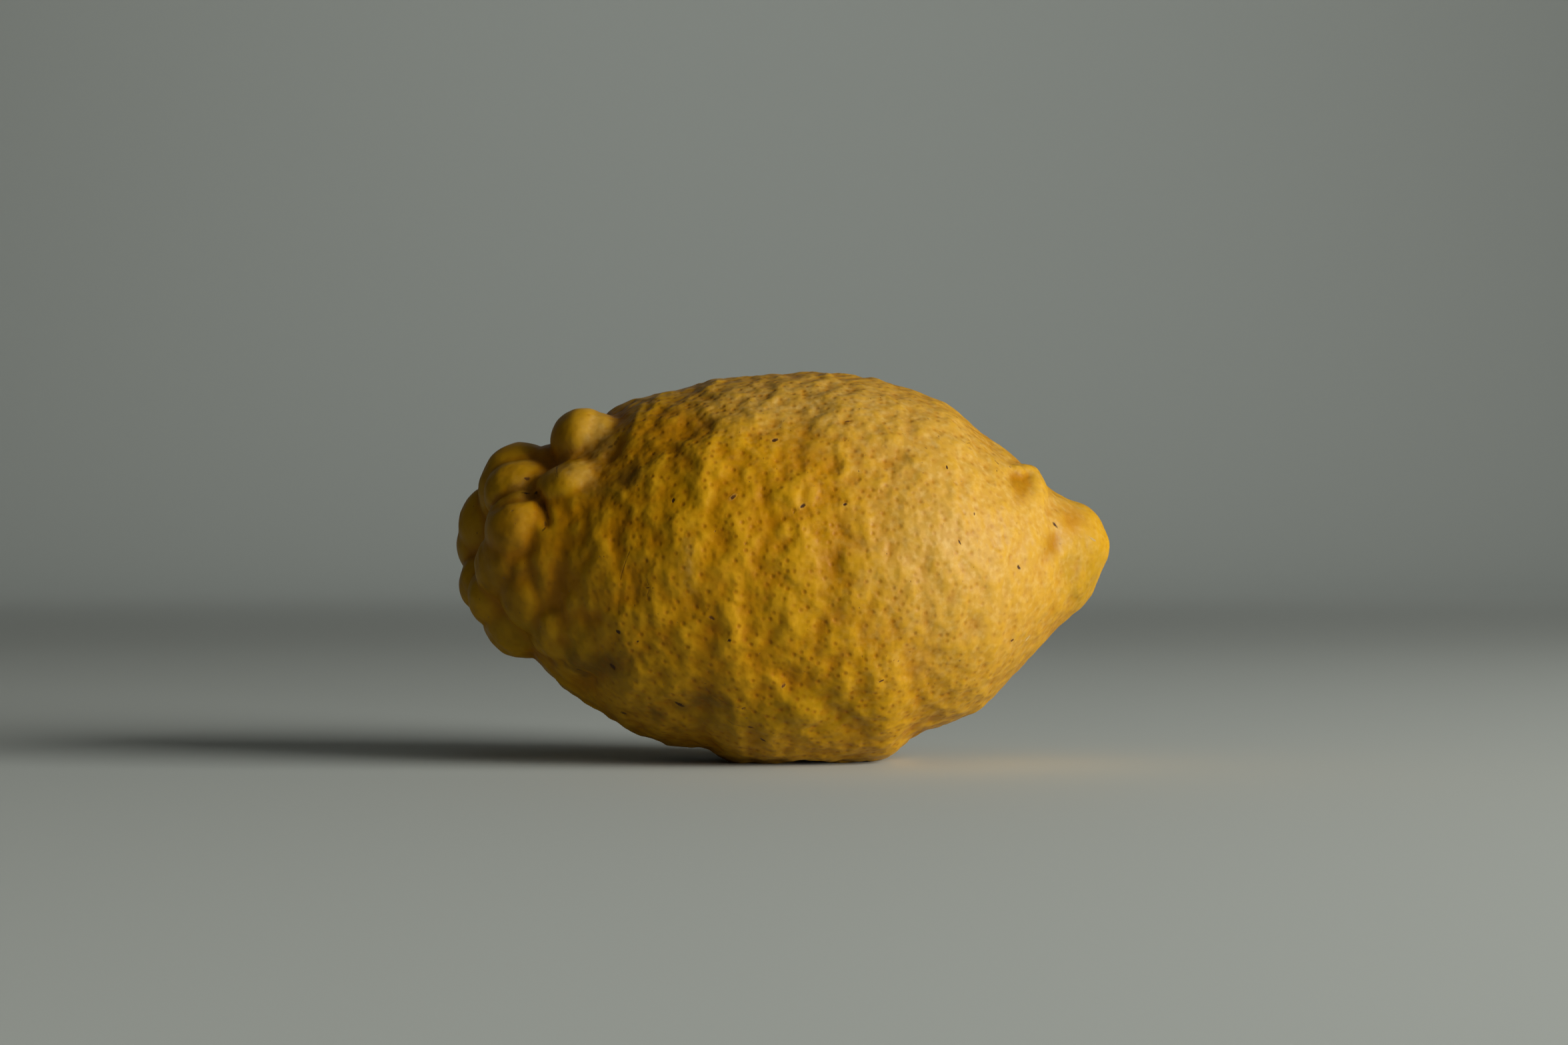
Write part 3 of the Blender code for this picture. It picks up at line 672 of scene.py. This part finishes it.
def keep_vectors(mesh, name, vectors):
    attribute = mesh.attributes.new(name, "FLOAT_VECTOR", "FACE")
    attribute.data.foreach_set("vector", vectors.astype(np.float32).ravel())


def facing_near(normals):
    """1 where the rind faces the camera, 0 where it faces away."""
    return np.clip(-normals[:, 1] * FACING_GAIN, 0.0, 1.0)


def oval_share(points, x, z, half_width, half_height, turn):
    """1 in the middle of a soft oval of the near side, fading outwards."""
    along_x, along_z = points[:, 0] - x, points[:, 2] - z
    swing = math.radians(turn)
    across = (along_x * math.cos(swing) + along_z * math.sin(swing)) / half_width
    up = (along_z * math.cos(swing) - along_x * math.sin(swing)) / half_height
    return np.exp(-(across ** 2 + up ** 2) * OVAL_FALLOFF)


def ball_gap(points, centre, radius):
    """Distance of each point from a ball's centre, in radii."""
    return np.linalg.norm(points - np.array(centre), axis=1) / radius


def sum_of_ovals(points, ovals):
    """Soft ovals of the near side, each as strong as its last number says."""
    total = np.zeros(len(points))
    for *oval, strength in ovals:
        total += strength * oval_share(points, *oval)
    return total


def sum_of_balls(points, balls):
    """Soft balls, each as strong as its last number says."""
    total = np.zeros(len(points))
    for centre, radius, strength in balls:
        total += strength * np.exp(-ball_gap(points, centre, radius) ** 2)
    return total


def distance_to_path(flat_points, path):
    nearest = np.full(len(flat_points), math.inf)
    for start, end in zip(path[:-1], path[1:]):
        start = np.array(start)
        run = np.array(end) - start
        along = np.clip((flat_points - start) @ run / (run @ run), 0.0, 1.0)
        gap = np.linalg.norm(flat_points - start - along[:, None] * run, axis=1)
        nearest = np.minimum(nearest, gap)
    return nearest


def near_side_relief(points, normals):
    heights = sum_of_ovals(points, NEAR_SWELLINGS)
    for path, half_width, depth in NEAR_FURROWS:
        gap = distance_to_path(points[:, (0, 2)], path) / half_width
        heights -= depth * np.exp(-gap ** 2)
    return heights * facing_near(normals)


def stretched_noise(points, along, around, draw):
    """Noise of the given wavelengths along X and round the body."""
    start = GROWTH_SEED * draw
    stretch = Vector((1 / along, 1 / around, 1 / around))
    return np.array([noise.noise(Vector(point) * stretch + start) for point in points])


def undulation(points, layers, first_draw):
    heights = np.zeros(len(points))
    for layer, (along, around, height) in enumerate(layers):
        heights += height * stretched_noise(points, along, around, first_draw + layer)
    return heights


def rounded_lumps(points):
    """Round lumps with narrow dips between them."""
    heights = np.zeros(len(points))
    for layer, (along, around, height) in enumerate(LUMPS):
        values = stretched_noise(points, along, around, LUMP_DRAW + layer)
        bumps = np.sqrt(values ** 2 + DIP_WIDTH ** 2)
        heights += height * (bumps - bumps.mean())
    return heights


def fitted(points):
    """The form, moved and stretched by the little that makes its box the solid's box."""
    low, high = points.min(axis=0), points.max(axis=0)
    box_low, box_high = np.array(cad_box[0]) / MM, np.array(cad_box[1]) / MM
    size = box_high - box_low
    placed = (points - (low + high) / 2) * size / (high - low) + (box_low + box_high) / 2
    placed[:, 2] = points[:, 2] * box_high[2] / high[2]
    return placed


def with_relief(points, normals):
    """The skin with the swellings, furrows and lumps that the solid has too, at the solid's size."""
    grown = undulation(points, UNDULATIONS, UNDULATION_DRAW) + rounded_lumps(points)
    relief = near_side_relief(points, normals) + sum_of_balls(points, FAR_SWELLINGS)
    relief += grown * np.interp(points[:, 0], *RELIEF_ALONG)
    return fitted(points + normals * (relief + SKIN_REGAIN)[:, None])


def skin_liveliness(points):
    """1 where the rind is pebbled, towards 0 on the smooth lobes."""
    calm = np.zeros(len(points))
    for centre, radius in SMOOTH_SKIN:
        calm = np.maximum(calm, np.exp(-ball_gap(points, centre, radius) ** 4))
    return 1.0 - SMOOTH_SKIN_CALM * calm


def with_pebbles(points, normals, liveliness):
    pebbles = undulation(points, PEBBLES, PEBBLE_DRAW) * np.interp(points[:, 0], *PEBBLES_ALONG)
    return points + normals * (pebbles * liveliness)[:, None]


def placed_glands(points):
    """Oil glands over the whole rind, evenly but not regularly spaced."""
    draw = np.random.default_rng(GLAND_SEED)
    rooms = draw.uniform(*GLAND_SPACING, len(points))
    cell = GLAND_SPACING[1]
    steps = (-1, 0, 1)
    cells = {}
    glands = []
    for index, room in zip(draw.permutation(len(points)), rooms):
        x, y, z = points[index]
        home = (int(x // cell), int(y // cell), int(z // cell))
        near = (
            other
            for i in steps
            for j in steps
            for k in steps
            for other in cells.get((home[0] + i, home[1] + j, home[2] + k), ())
        )
        if all((x - a) ** 2 + (y - b) ** 2 + (z - c) ** 2 > room ** 2 for a, b, c in near):
            cells.setdefault(home, []).append((x, y, z))
            glands.append((x, y, z))
    return np.array(glands)


def gland_strengths(glands):
    """Glands are plainest on the body, and faint on the lobes and towards the nipple."""
    strength = np.random.default_rng(GLAND_SEED + 1).uniform(*GLAND_ROOTS, len(glands)) ** 2
    return strength * np.interp(glands[:, 0], *GLANDS_ALONG)


def tree_of(places):
    """A tree of places, to be searched for their numbers."""
    tree = kdtree.KDTree(len(places))
    for number, place in enumerate(places):
        tree.insert(place, number)
    tree.balance()
    return tree


def nearest_of(places, points):
    """For each point, the number of the nearest place and the distance to it."""
    tree = tree_of(places)
    found = [tree.find(point) for point in points]
    return np.array([number for _, number, _ in found]), np.array([gap for _, _, gap in found])


def softened(mesh, values, rounds):
    """Values spread evenly to their neighbours, as many times as asked."""
    one, other = numbers_of(mesh.edges, "vertices", 2, np.int32).T
    count = np.bincount(one, minlength=len(values)) + np.bincount(other, minlength=len(values))
    for _ in range(rounds):
        spread = np.bincount(one, values[other], len(values))
        spread += np.bincount(other, values[one], len(values))
        values = (values + spread / np.maximum(count, 1)) / 2
    return values


def hollowness(mesh, rounds):
    """How far each point lies below its softened neighbourhood, in millimetres."""
    points = points_of(mesh)
    normals = normals_of(mesh)
    around = np.stack([softened(mesh, points[:, axis], rounds) for axis in range(3)], axis=1)
    return np.einsum("ij,ij->i", around - points, normals)


def tint(points, normals, near_places, far_places):
    """How strongly a tint colours each point."""
    near = facing_near(normals) * sum_of_ovals(points, near_places)
    return near + sum_of_balls(points, far_places)


def flatten_resting_spots(mesh):
    """Cuts off what reaches below the floor, and closes the cuts with flat faces."""
    bm = bmesh.new()
    bm.from_mesh(mesh)
    everything = list(bm.verts) + list(bm.edges) + list(bm.faces)
    bmesh.ops.bisect_plane(bm, geom=everything, plane_co=(0, 0, 0), plane_no=(0, 0, -1), clear_outer=True)
    rims = [edge for edge in bm.edges if edge.is_boundary]
    bmesh.ops.holes_fill(bm, edges=rims, sides=0)
    bmesh.ops.triangulate(bm, faces=[face for face in bm.faces if len(face.verts) > 4])
    bm.to_mesh(mesh)
    bm.free()


def seen_place(rind, across, up):
    """Where the rind lies behind a point of the fruit's middle plane, as the camera sees it."""
    eye = Vector(CAMERA_PLACE)
    place, normal, _, _ = rind.ray_cast(eye, (Vector((across, 0.0, up)) - eye).normalized())
    return place, normal


def mark_at(place, normal, way, half_length, half_width, look):
    """A mark: its place, its two axes along the skin, each divided by its half size, and its look."""
    axis = (way - normal * way.dot(normal)).normalized()
    return place, axis / half_length, normal.cross(axis) / half_width, look


def seen_marks(rind):
    """The scars, specks and cracks of the near side."""
    marks = []
    for across, up, half_length, half_width, turn, tone, rim in MARKS:
        place, normal = seen_place(rind, across, up)
        swing = math.radians(turn)
        way = Vector((math.cos(swing), 0.0, math.sin(swing)))
        marks.append(mark_at(place, normal, way, half_length, half_width, (tone, rim, 1.0)))
    for path, half_width, tone in CRACKS:
        look = (tone, 0.0, CRACK_STRENGTH)
        for start, end in zip(path[:-1], path[1:]):
            one, _ = seen_place(rind, *start)
            other, _ = seen_place(rind, *end)
            place, normal = seen_place(rind, (start[0] + end[0]) / 2, (start[1] + end[1]) / 2)
            half_length = (other - one).length * CRACK_OVERLAP
            marks.append(mark_at(place, normal, other - one, half_length, half_width, look))
    return marks


def freckles(points, normals):
    """Small dark specks, strewn over the whole rind."""
    draw = np.random.default_rng(MARK_SEED)
    marks = []
    for index in draw.choice(len(points), FRECKLES, replace=False):
        way = Vector(draw.normal(size=3))
        half = draw.uniform(*FRECKLE_SIZE)
        look = (draw.uniform(*FRECKLE_LOOK), 0.0, draw.uniform(*FRECKLE_LOOK))
        place, normal = Vector(points[index]), Vector(normals[index])
        marks.append(mark_at(place, normal, way, half * draw.uniform(*FRECKLE_STRETCH), half, look))
    return marks


def keep_marks(mesh, marks, centres):
    """Each face keeps the mark that reaches it most, so that the rind can draw it to the point."""
    tree = tree_of(centres)
    best = np.full(len(centres), math.inf)
    kept = np.tile(np.array(NO_MARK), (len(centres), 1))
    for place, axis, cross, look in marks:
        reach = MARK_REACH / min(axis.length, cross.length) + MARK_MARGIN
        near = np.array([number for _, number, _ in tree.find_range(place, reach)], dtype=int)
        if not len(near):
            continue
        away = centres[near] - np.array(place)
        size = np.hypot(away @ np.array(axis), away @ np.array(cross))
        closer = size < best[near]
        best[near[closer]] = size[closer]
        kept[near[closer]] = (*place, *axis, *cross, *look)
    for number, name in enumerate(("mark_place", "mark_axis", "mark_cross", "mark_look")):
        keep_vectors(mesh, name, kept[:, 3 * number:3 * number + 3])


def keep_point_looks(mesh, points, liveliness, pits):
    """What the colour and the fine relief go by, kept at every point."""
    keep(mesh, "gland_tone", pits)
    keep(mesh, "liveliness", liveliness)
    keep(mesh, "fine_hollow", hollowness(mesh, FINE_ROUNDS))
    keep(mesh, "broad_hollow", hollowness(mesh, BROAD_ROUNDS))
    normals = normals_of(mesh)
    for name, (near_places, far_places, *_) in TINTS.items():
        keep(mesh, name, tint(points, normals, near_places, far_places))


def keep_face_looks(mesh, glands, strengths):
    """What each face draws by its distance: the gland and the mark nearest to it."""
    centres = numbers_of(mesh.polygons, "center", 3).astype(float)
    nearest, _ = nearest_of(glands, centres)
    keep_vectors(mesh, "gland_place", glands[nearest])
    keep(mesh, "gland_strength", strengths[nearest], "FACE")
    points, normals = points_of(mesh), normals_of(mesh)
    rind = BVHTree.FromPolygons(points.tolist(), [face.vertices[:] for face in mesh.polygons])
    keep_marks(mesh, freckles(points, normals) + seen_marks(rind), centres)


def citron():
    """The whole fruit: one skin, grown as the solid is but at a finer grain, and its rind."""
    mesh = grown_skin()
    points = with_relief(points_of(mesh), normals_of(mesh))
    set_points(mesh, points)
    normals = normals_of(mesh)
    liveliness = skin_liveliness(points)
    points = with_pebbles(points, normals, liveliness)
    glands = placed_glands(points)
    strengths = gland_strengths(glands)
    nearest, gaps = nearest_of(glands, points)
    pits = strengths[nearest] * np.exp(-(gaps / GLAND_WIDTH) ** 2)
    set_points(mesh, points - normals * (GLAND_DEPTH * pits)[:, None])
    keep_point_looks(mesh, points, liveliness, pits)
    flatten_resting_spots(mesh)
    keep_face_looks(mesh, glands, strengths)
    mesh.transform(Matrix.Scale(MM, 4))
    mesh.materials.append(rind_material())
    mesh.shade_smooth()
    fruit = placed_thing("citron_rind", mesh)
    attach(fruit, "root")
    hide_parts("citron")


class Nodes:
    """Short ways to place and join the nodes of one tree."""

    def __init__(self, tree):
        self.tree = tree

    def add(self, kind, inputs=(), **settings):
        node = self.tree.nodes.new(kind)
        for name, value in settings.items():
            setattr(node, name, value)
        for socket, value in dict(inputs).items():
            self.put(node.inputs[socket], value)
        return node

    def put(self, socket, value):
        if isinstance(value, bpy.types.NodeSocket):
            self.tree.links.new(value, socket)
        else:
            socket.default_value = value

    def math(self, operation, *values, clamp=False):
        node = self.add("ShaderNodeMath", enumerate(values), operation=operation, use_clamp=clamp)
        return node.outputs[0]

    def vector(self, operation, *values, out=0):
        node = self.add("ShaderNodeVectorMath", enumerate(values), operation=operation)
        return node.outputs[out]

    def ramp(self, value, low, high, to_low=0.0, to_high=1.0):
        """A smooth step of a value, from one range into another."""
        inputs = {"Value": value, "From Min": low, "From Max": high, "To Min": to_low, "To Max": to_high}
        return self.add("ShaderNodeMapRange", inputs, interpolation_type="SMOOTHSTEP").outputs["Result"]

    def mix(self, share, one, other):
        node = self.add("ShaderNodeMix", data_type="RGBA")
        for socket, value in (("Factor_Float", share), ("A_Color", one), ("B_Color", other)):
            self.put(next(s for s in node.inputs if s.identifier == socket), value)
        return next(s for s in node.outputs if s.identifier == "Result_Color")

    def layer(self, colour, value, span, tone):
        """Lays a tone over a colour as a value passes from the span's first number to its second."""
        begin, full, cover = span
        return self.mix(self.ramp(value, begin, full, 0.0, cover), colour, tone)

    def noise(self, place, grain):
        scale, detail, roughness = grain
        inputs = {"Vector": place, "Scale": scale, "Detail": detail, "Roughness": roughness}
        return self.add("ShaderNodeTexNoise", inputs).outputs[0]

    def frayed(self, value, wobble, amount):
        """A value moved up and down by a noise around a half."""
        return self.math("MULTIPLY_ADD", self.math("SUBTRACT", wobble, 0.5), amount, value)

    def attribute(self, name, out="Fac"):
        return self.add("ShaderNodeAttribute", attribute_name=name).outputs[out]


def skin_tones(nodes, place, mottling):
    """The colours of the rind, from its broad areas down to its creases, with painted shade in its
    hollows and painted sheen and highlights on its humps and lit parts.
    """

    def tinted(colour, name):
        _, _, tone, cover, ragged = TINTS[name]
        edge = nodes.frayed(nodes.attribute(name), mottling, ragged)
        return nodes.layer(colour, edge, (*TINT_EDGE, cover), tone)

    broad_hollow = nodes.attribute("broad_hollow")
    fine_hollow = nodes.attribute("fine_hollow")
    colour = nodes.layer(OCHRE, nodes.noise(place, CLOUDS), MUSTARD_CLOUDS, MUSTARD)
    colour = tinted(colour, "warm")
    colour = nodes.layer(colour, mottling, GOLDEN_MOTTLES, GOLDEN)
    # Painted shade in the broad hollows.
    colour = nodes.layer(colour, broad_hollow, BROAD_HOLLOW_SHADE, GOLDEN)
    # Painted highlight on the broad humps.
    colour = nodes.layer(colour, broad_hollow, BROAD_HUMP_HIGHLIGHTS, HUMP_HIGHLIGHT)
    colour = tinted(colour, "green")
    # Tan: painted sheen and highlights.
    colour = tinted(colour, "tan")
    # Pale wax flecks, only where the sheen is painted.
    flecks = nodes.ramp(nodes.noise(place, WAX_FLECKS), *FLECK_STEP)
    flecks = nodes.math("MULTIPLY", flecks, nodes.attribute("tan"))
    colour = nodes.mix(nodes.math("MULTIPLY", flecks, FLECK_COVER, clamp=True), colour, PALE_HAZE)
    # Golden: the rind's deeper orange and painted shade.
    colour = tinted(colour, "golden_and_shade")
    # Amber: painted shade in hollows, with the rind's own deeper tone.
    colour = tinted(colour, "amber_and_shade")
    # Painted shade in the fine hollows.
    colour = nodes.layer(colour, fine_hollow, FINE_HOLLOW_SHADE, GOLDEN)
    # Dirt and painted shade in the deepest creases.
    colour = nodes.layer(colour, fine_hollow, CREASE_DIRT_AND_SHADE_SPAN, CREASE_DIRT_AND_SHADE)
    # Painted highlight on the fine humps.
    colour = nodes.layer(colour, fine_hollow, FINE_HUMP_HIGHLIGHTS, HUMP_HIGHLIGHT)
    # Dark patches, partly painted shade.
    return tinted(colour, "dark_patches_and_shade")


def gland_dots(nodes, place, place_mm):
    """How plainly the dark dot of the nearest oil gland shows."""
    way = nodes.vector("SUBTRACT", place_mm, nodes.attribute("gland_place", "Vector"))
    gap = nodes.vector("LENGTH", way, out="Value")
    gap = nodes.frayed(gap, nodes.noise(place, DOT_FRAY_NOISE), DOT_FRAY)
    return nodes.math("MULTIPLY", nodes.ramp(gap, DOT_EDGE, DOT_HEART), nodes.attribute("gland_strength"))


def drawn_marks(nodes, place, place_mm):
    """How plainly the face's mark and its pale rim show, and the mark's colour."""
    look = nodes.add("ShaderNodeSeparateXYZ", {0: nodes.attribute("mark_look", "Vector")})
    tone, rim, strength = look.outputs
    way = nodes.vector("SUBTRACT", place_mm, nodes.attribute("mark_place", "Vector"))
    along = nodes.vector("DOT_PRODUCT", way, nodes.attribute("mark_axis", "Vector"), out="Value")
    across = nodes.vector("DOT_PRODUCT", way, nodes.attribute("mark_cross", "Vector"), out="Value")
    squares = [nodes.math("MULTIPLY", part, part) for part in (along, across)]
    size = nodes.math("SQRT", nodes.math("ADD", *squares))
    size = nodes.frayed(size, nodes.noise(place, MARK_FRAY_NOISE), MARK_FRAY)
    mark = nodes.math("MULTIPLY", nodes.ramp(size, *MARK_STEP), strength)
    ring = nodes.math("MULTIPLY", nodes.ramp(size, *RIM_STEP), rim)
    scar = nodes.mix(nodes.ramp(tone, 0.0, 0.5), SCAR_DARK, SCAR_BROWN)
    scar = nodes.mix(nodes.ramp(tone, 0.5, 1.0), scar, SCAR_PALE)
    return mark, ring, scar


def fine_relief(nodes, place, gland, mark, ring):
    """Relief too fine for the mesh: dimples, gland pits, sunken marks with raised rims, and bloom."""
    lively = nodes.attribute("liveliness")
    dimple_height = nodes.math("MULTIPLY", lively, DIMPLE_HEIGHT)
    height = nodes.math("MULTIPLY", nodes.noise(place, DIMPLES), dimple_height)
    height = nodes.math("MULTIPLY_ADD", nodes.math("MULTIPLY", gland, lively), -DOT_DEPTH, height)
    height = nodes.math("MULTIPLY_ADD", mark, -MARK_DEPTH, height)
    height = nodes.math("MULTIPLY_ADD", ring, RIM_HEIGHT, height)
    return nodes.math("MULTIPLY_ADD", nodes.noise(place, BLOOM), BLOOM_HEIGHT, height)


def rind_material():
    rind = bpy.data.materials.new("waxy_rind")
    rind.use_nodes = True
    nodes = Nodes(rind.node_tree)
    shader = rind.node_tree.nodes["Principled BSDF"]
    place = nodes.add("ShaderNodeTexCoord").outputs["Object"]
    in_mm = nodes.add("ShaderNodeVectorMath", {0: place, "Scale": 1 / MM}, operation="SCALE")
    place_mm = in_mm.outputs[0]
    mottling = nodes.noise(place, MOTTLING)
    gland = gland_dots(nodes, place, place_mm)
    mark, ring, scar = drawn_marks(nodes, place, place_mm)
    colour = skin_tones(nodes, place, mottling)
    # The gland's pit: its own deeper tone and painted shade.
    colour = nodes.mix(nodes.math("MULTIPLY", nodes.attribute("gland_tone"), PIT_COVER), colour, GOLDEN)
    dot = nodes.math("MULTIPLY", gland, nodes.ramp(nodes.attribute("tan"), 0.0, 1.0, *DOT_COVER))
    colour = nodes.mix(dot, colour, GLAND_BROWN)
    colour = nodes.mix(nodes.math("MULTIPLY", ring, RIM_COVER), colour, SCAR_PALE)
    nodes.put(shader.inputs["Base Color"], nodes.mix(mark, colour, scar))
    nodes.put(shader.inputs["Roughness"], nodes.ramp(mottling, *GLOSS_MOTTLES, *ROUGHNESS))
    height = fine_relief(nodes, place, gland, mark, ring)
    bump = nodes.add("ShaderNodeBump", {"Height": height, "Strength": 1.0, "Distance": MM})
    nodes.put(shader.inputs["Normal"], bump.outputs["Normal"])
    shader.inputs["Specular IOR Level"].default_value = SPECULAR
    return rind


def edges_within(bm, holds):
    """The edges with both ends where a place has to be."""
    return [edge for edge in bm.edges if all(holds(vert.co) for vert in edge.verts)]


def pale_floor():
    """A floor that curves up into a backdrop."""
    bm = bmesh.new()
    bmesh.ops.create_grid(bm, x_segments=1, y_segments=1, size=FLOOR_REACH)
    behind = FLOOR_REACH - EDGE_MARGIN
    back = edges_within(bm, lambda place: place.y > behind)
    raised = bmesh.ops.extrude_edge_only(bm, edges=back)["geom"]
    risen = [thing for thing in raised if isinstance(thing, bmesh.types.BMVert)]
    bmesh.ops.translate(bm, verts=risen, vec=(0, 0, BACKDROP_HEIGHT))
    fold = edges_within(bm, lambda place: place.y > behind and place.z < EDGE_MARGIN)
    bmesh.ops.bevel(
        bm,
        geom=fold,
        offset=BACKDROP_BEND,
        segments=BACKDROP_SEGMENTS,
        profile=0.5,
        affect="EDGES",
        material=-1,
    )
    mesh = bpy.data.meshes.new("pale_floor")
    bm.to_mesh(mesh)
    bm.free()
    mesh.shade_smooth()
    mesh.materials.append(floor_paint())
    floor = placed_thing("pale_floor", mesh)


def floor_paint():
    paint = bpy.data.materials.new("pale_matt_paint")
    paint.use_nodes = True
    shader = paint.node_tree.nodes["Principled BSDF"]
    shader.inputs["Base Color"].default_value = FLOOR_PAINT
    shader.inputs["Roughness"].default_value = FLOOR_ROUGHNESS
    return paint


def soft_light(name, azimuth, elevation, distance, side, power, colour, aim):
    lamp = bpy.data.lights.new(name, "AREA")
    lamp.size = side
    lamp.energy = power
    lamp.color = colour
    turn, rise = math.radians(azimuth), math.radians(elevation)
    away = Vector((math.sin(turn) * math.cos(rise), -math.cos(turn) * math.cos(rise), math.sin(rise)))
    thing = placed_thing(name, lamp)
    thing.location = away * distance + Vector(aim)
    thing.rotation_euler = away.to_track_quat("Z", "Y").to_euler()


def studio():
    for light in LIGHTS:
        soft_light(*light)
    world = bpy.data.worlds.new("soft_room")
    world.use_nodes = True
    background = world.node_tree.nodes["Background"]
    background.inputs["Color"].default_value = ROOM_LIGHT
    background.inputs["Strength"].default_value = ROOM_STRENGTH
    bpy.context.scene.world = world
    bpy.context.scene.view_settings.view_transform = "Standard"


def camera():
    """A level camera on the photographer's side of the fruit."""
    view = bpy.data.cameras.new("camera")
    view.lens = LENS
    view.sensor_width = SENSOR_WIDTH
    view.clip_start = NEAREST_SHOWN
    thing = placed_thing("camera", view)
    thing.location = Vector(CAMERA_PLACE) * MM
    thing.rotation_euler = (math.pi / 2, 0, 0)
    bpy.context.scene.camera = thing


camera()
pale_floor()
studio()
citron()
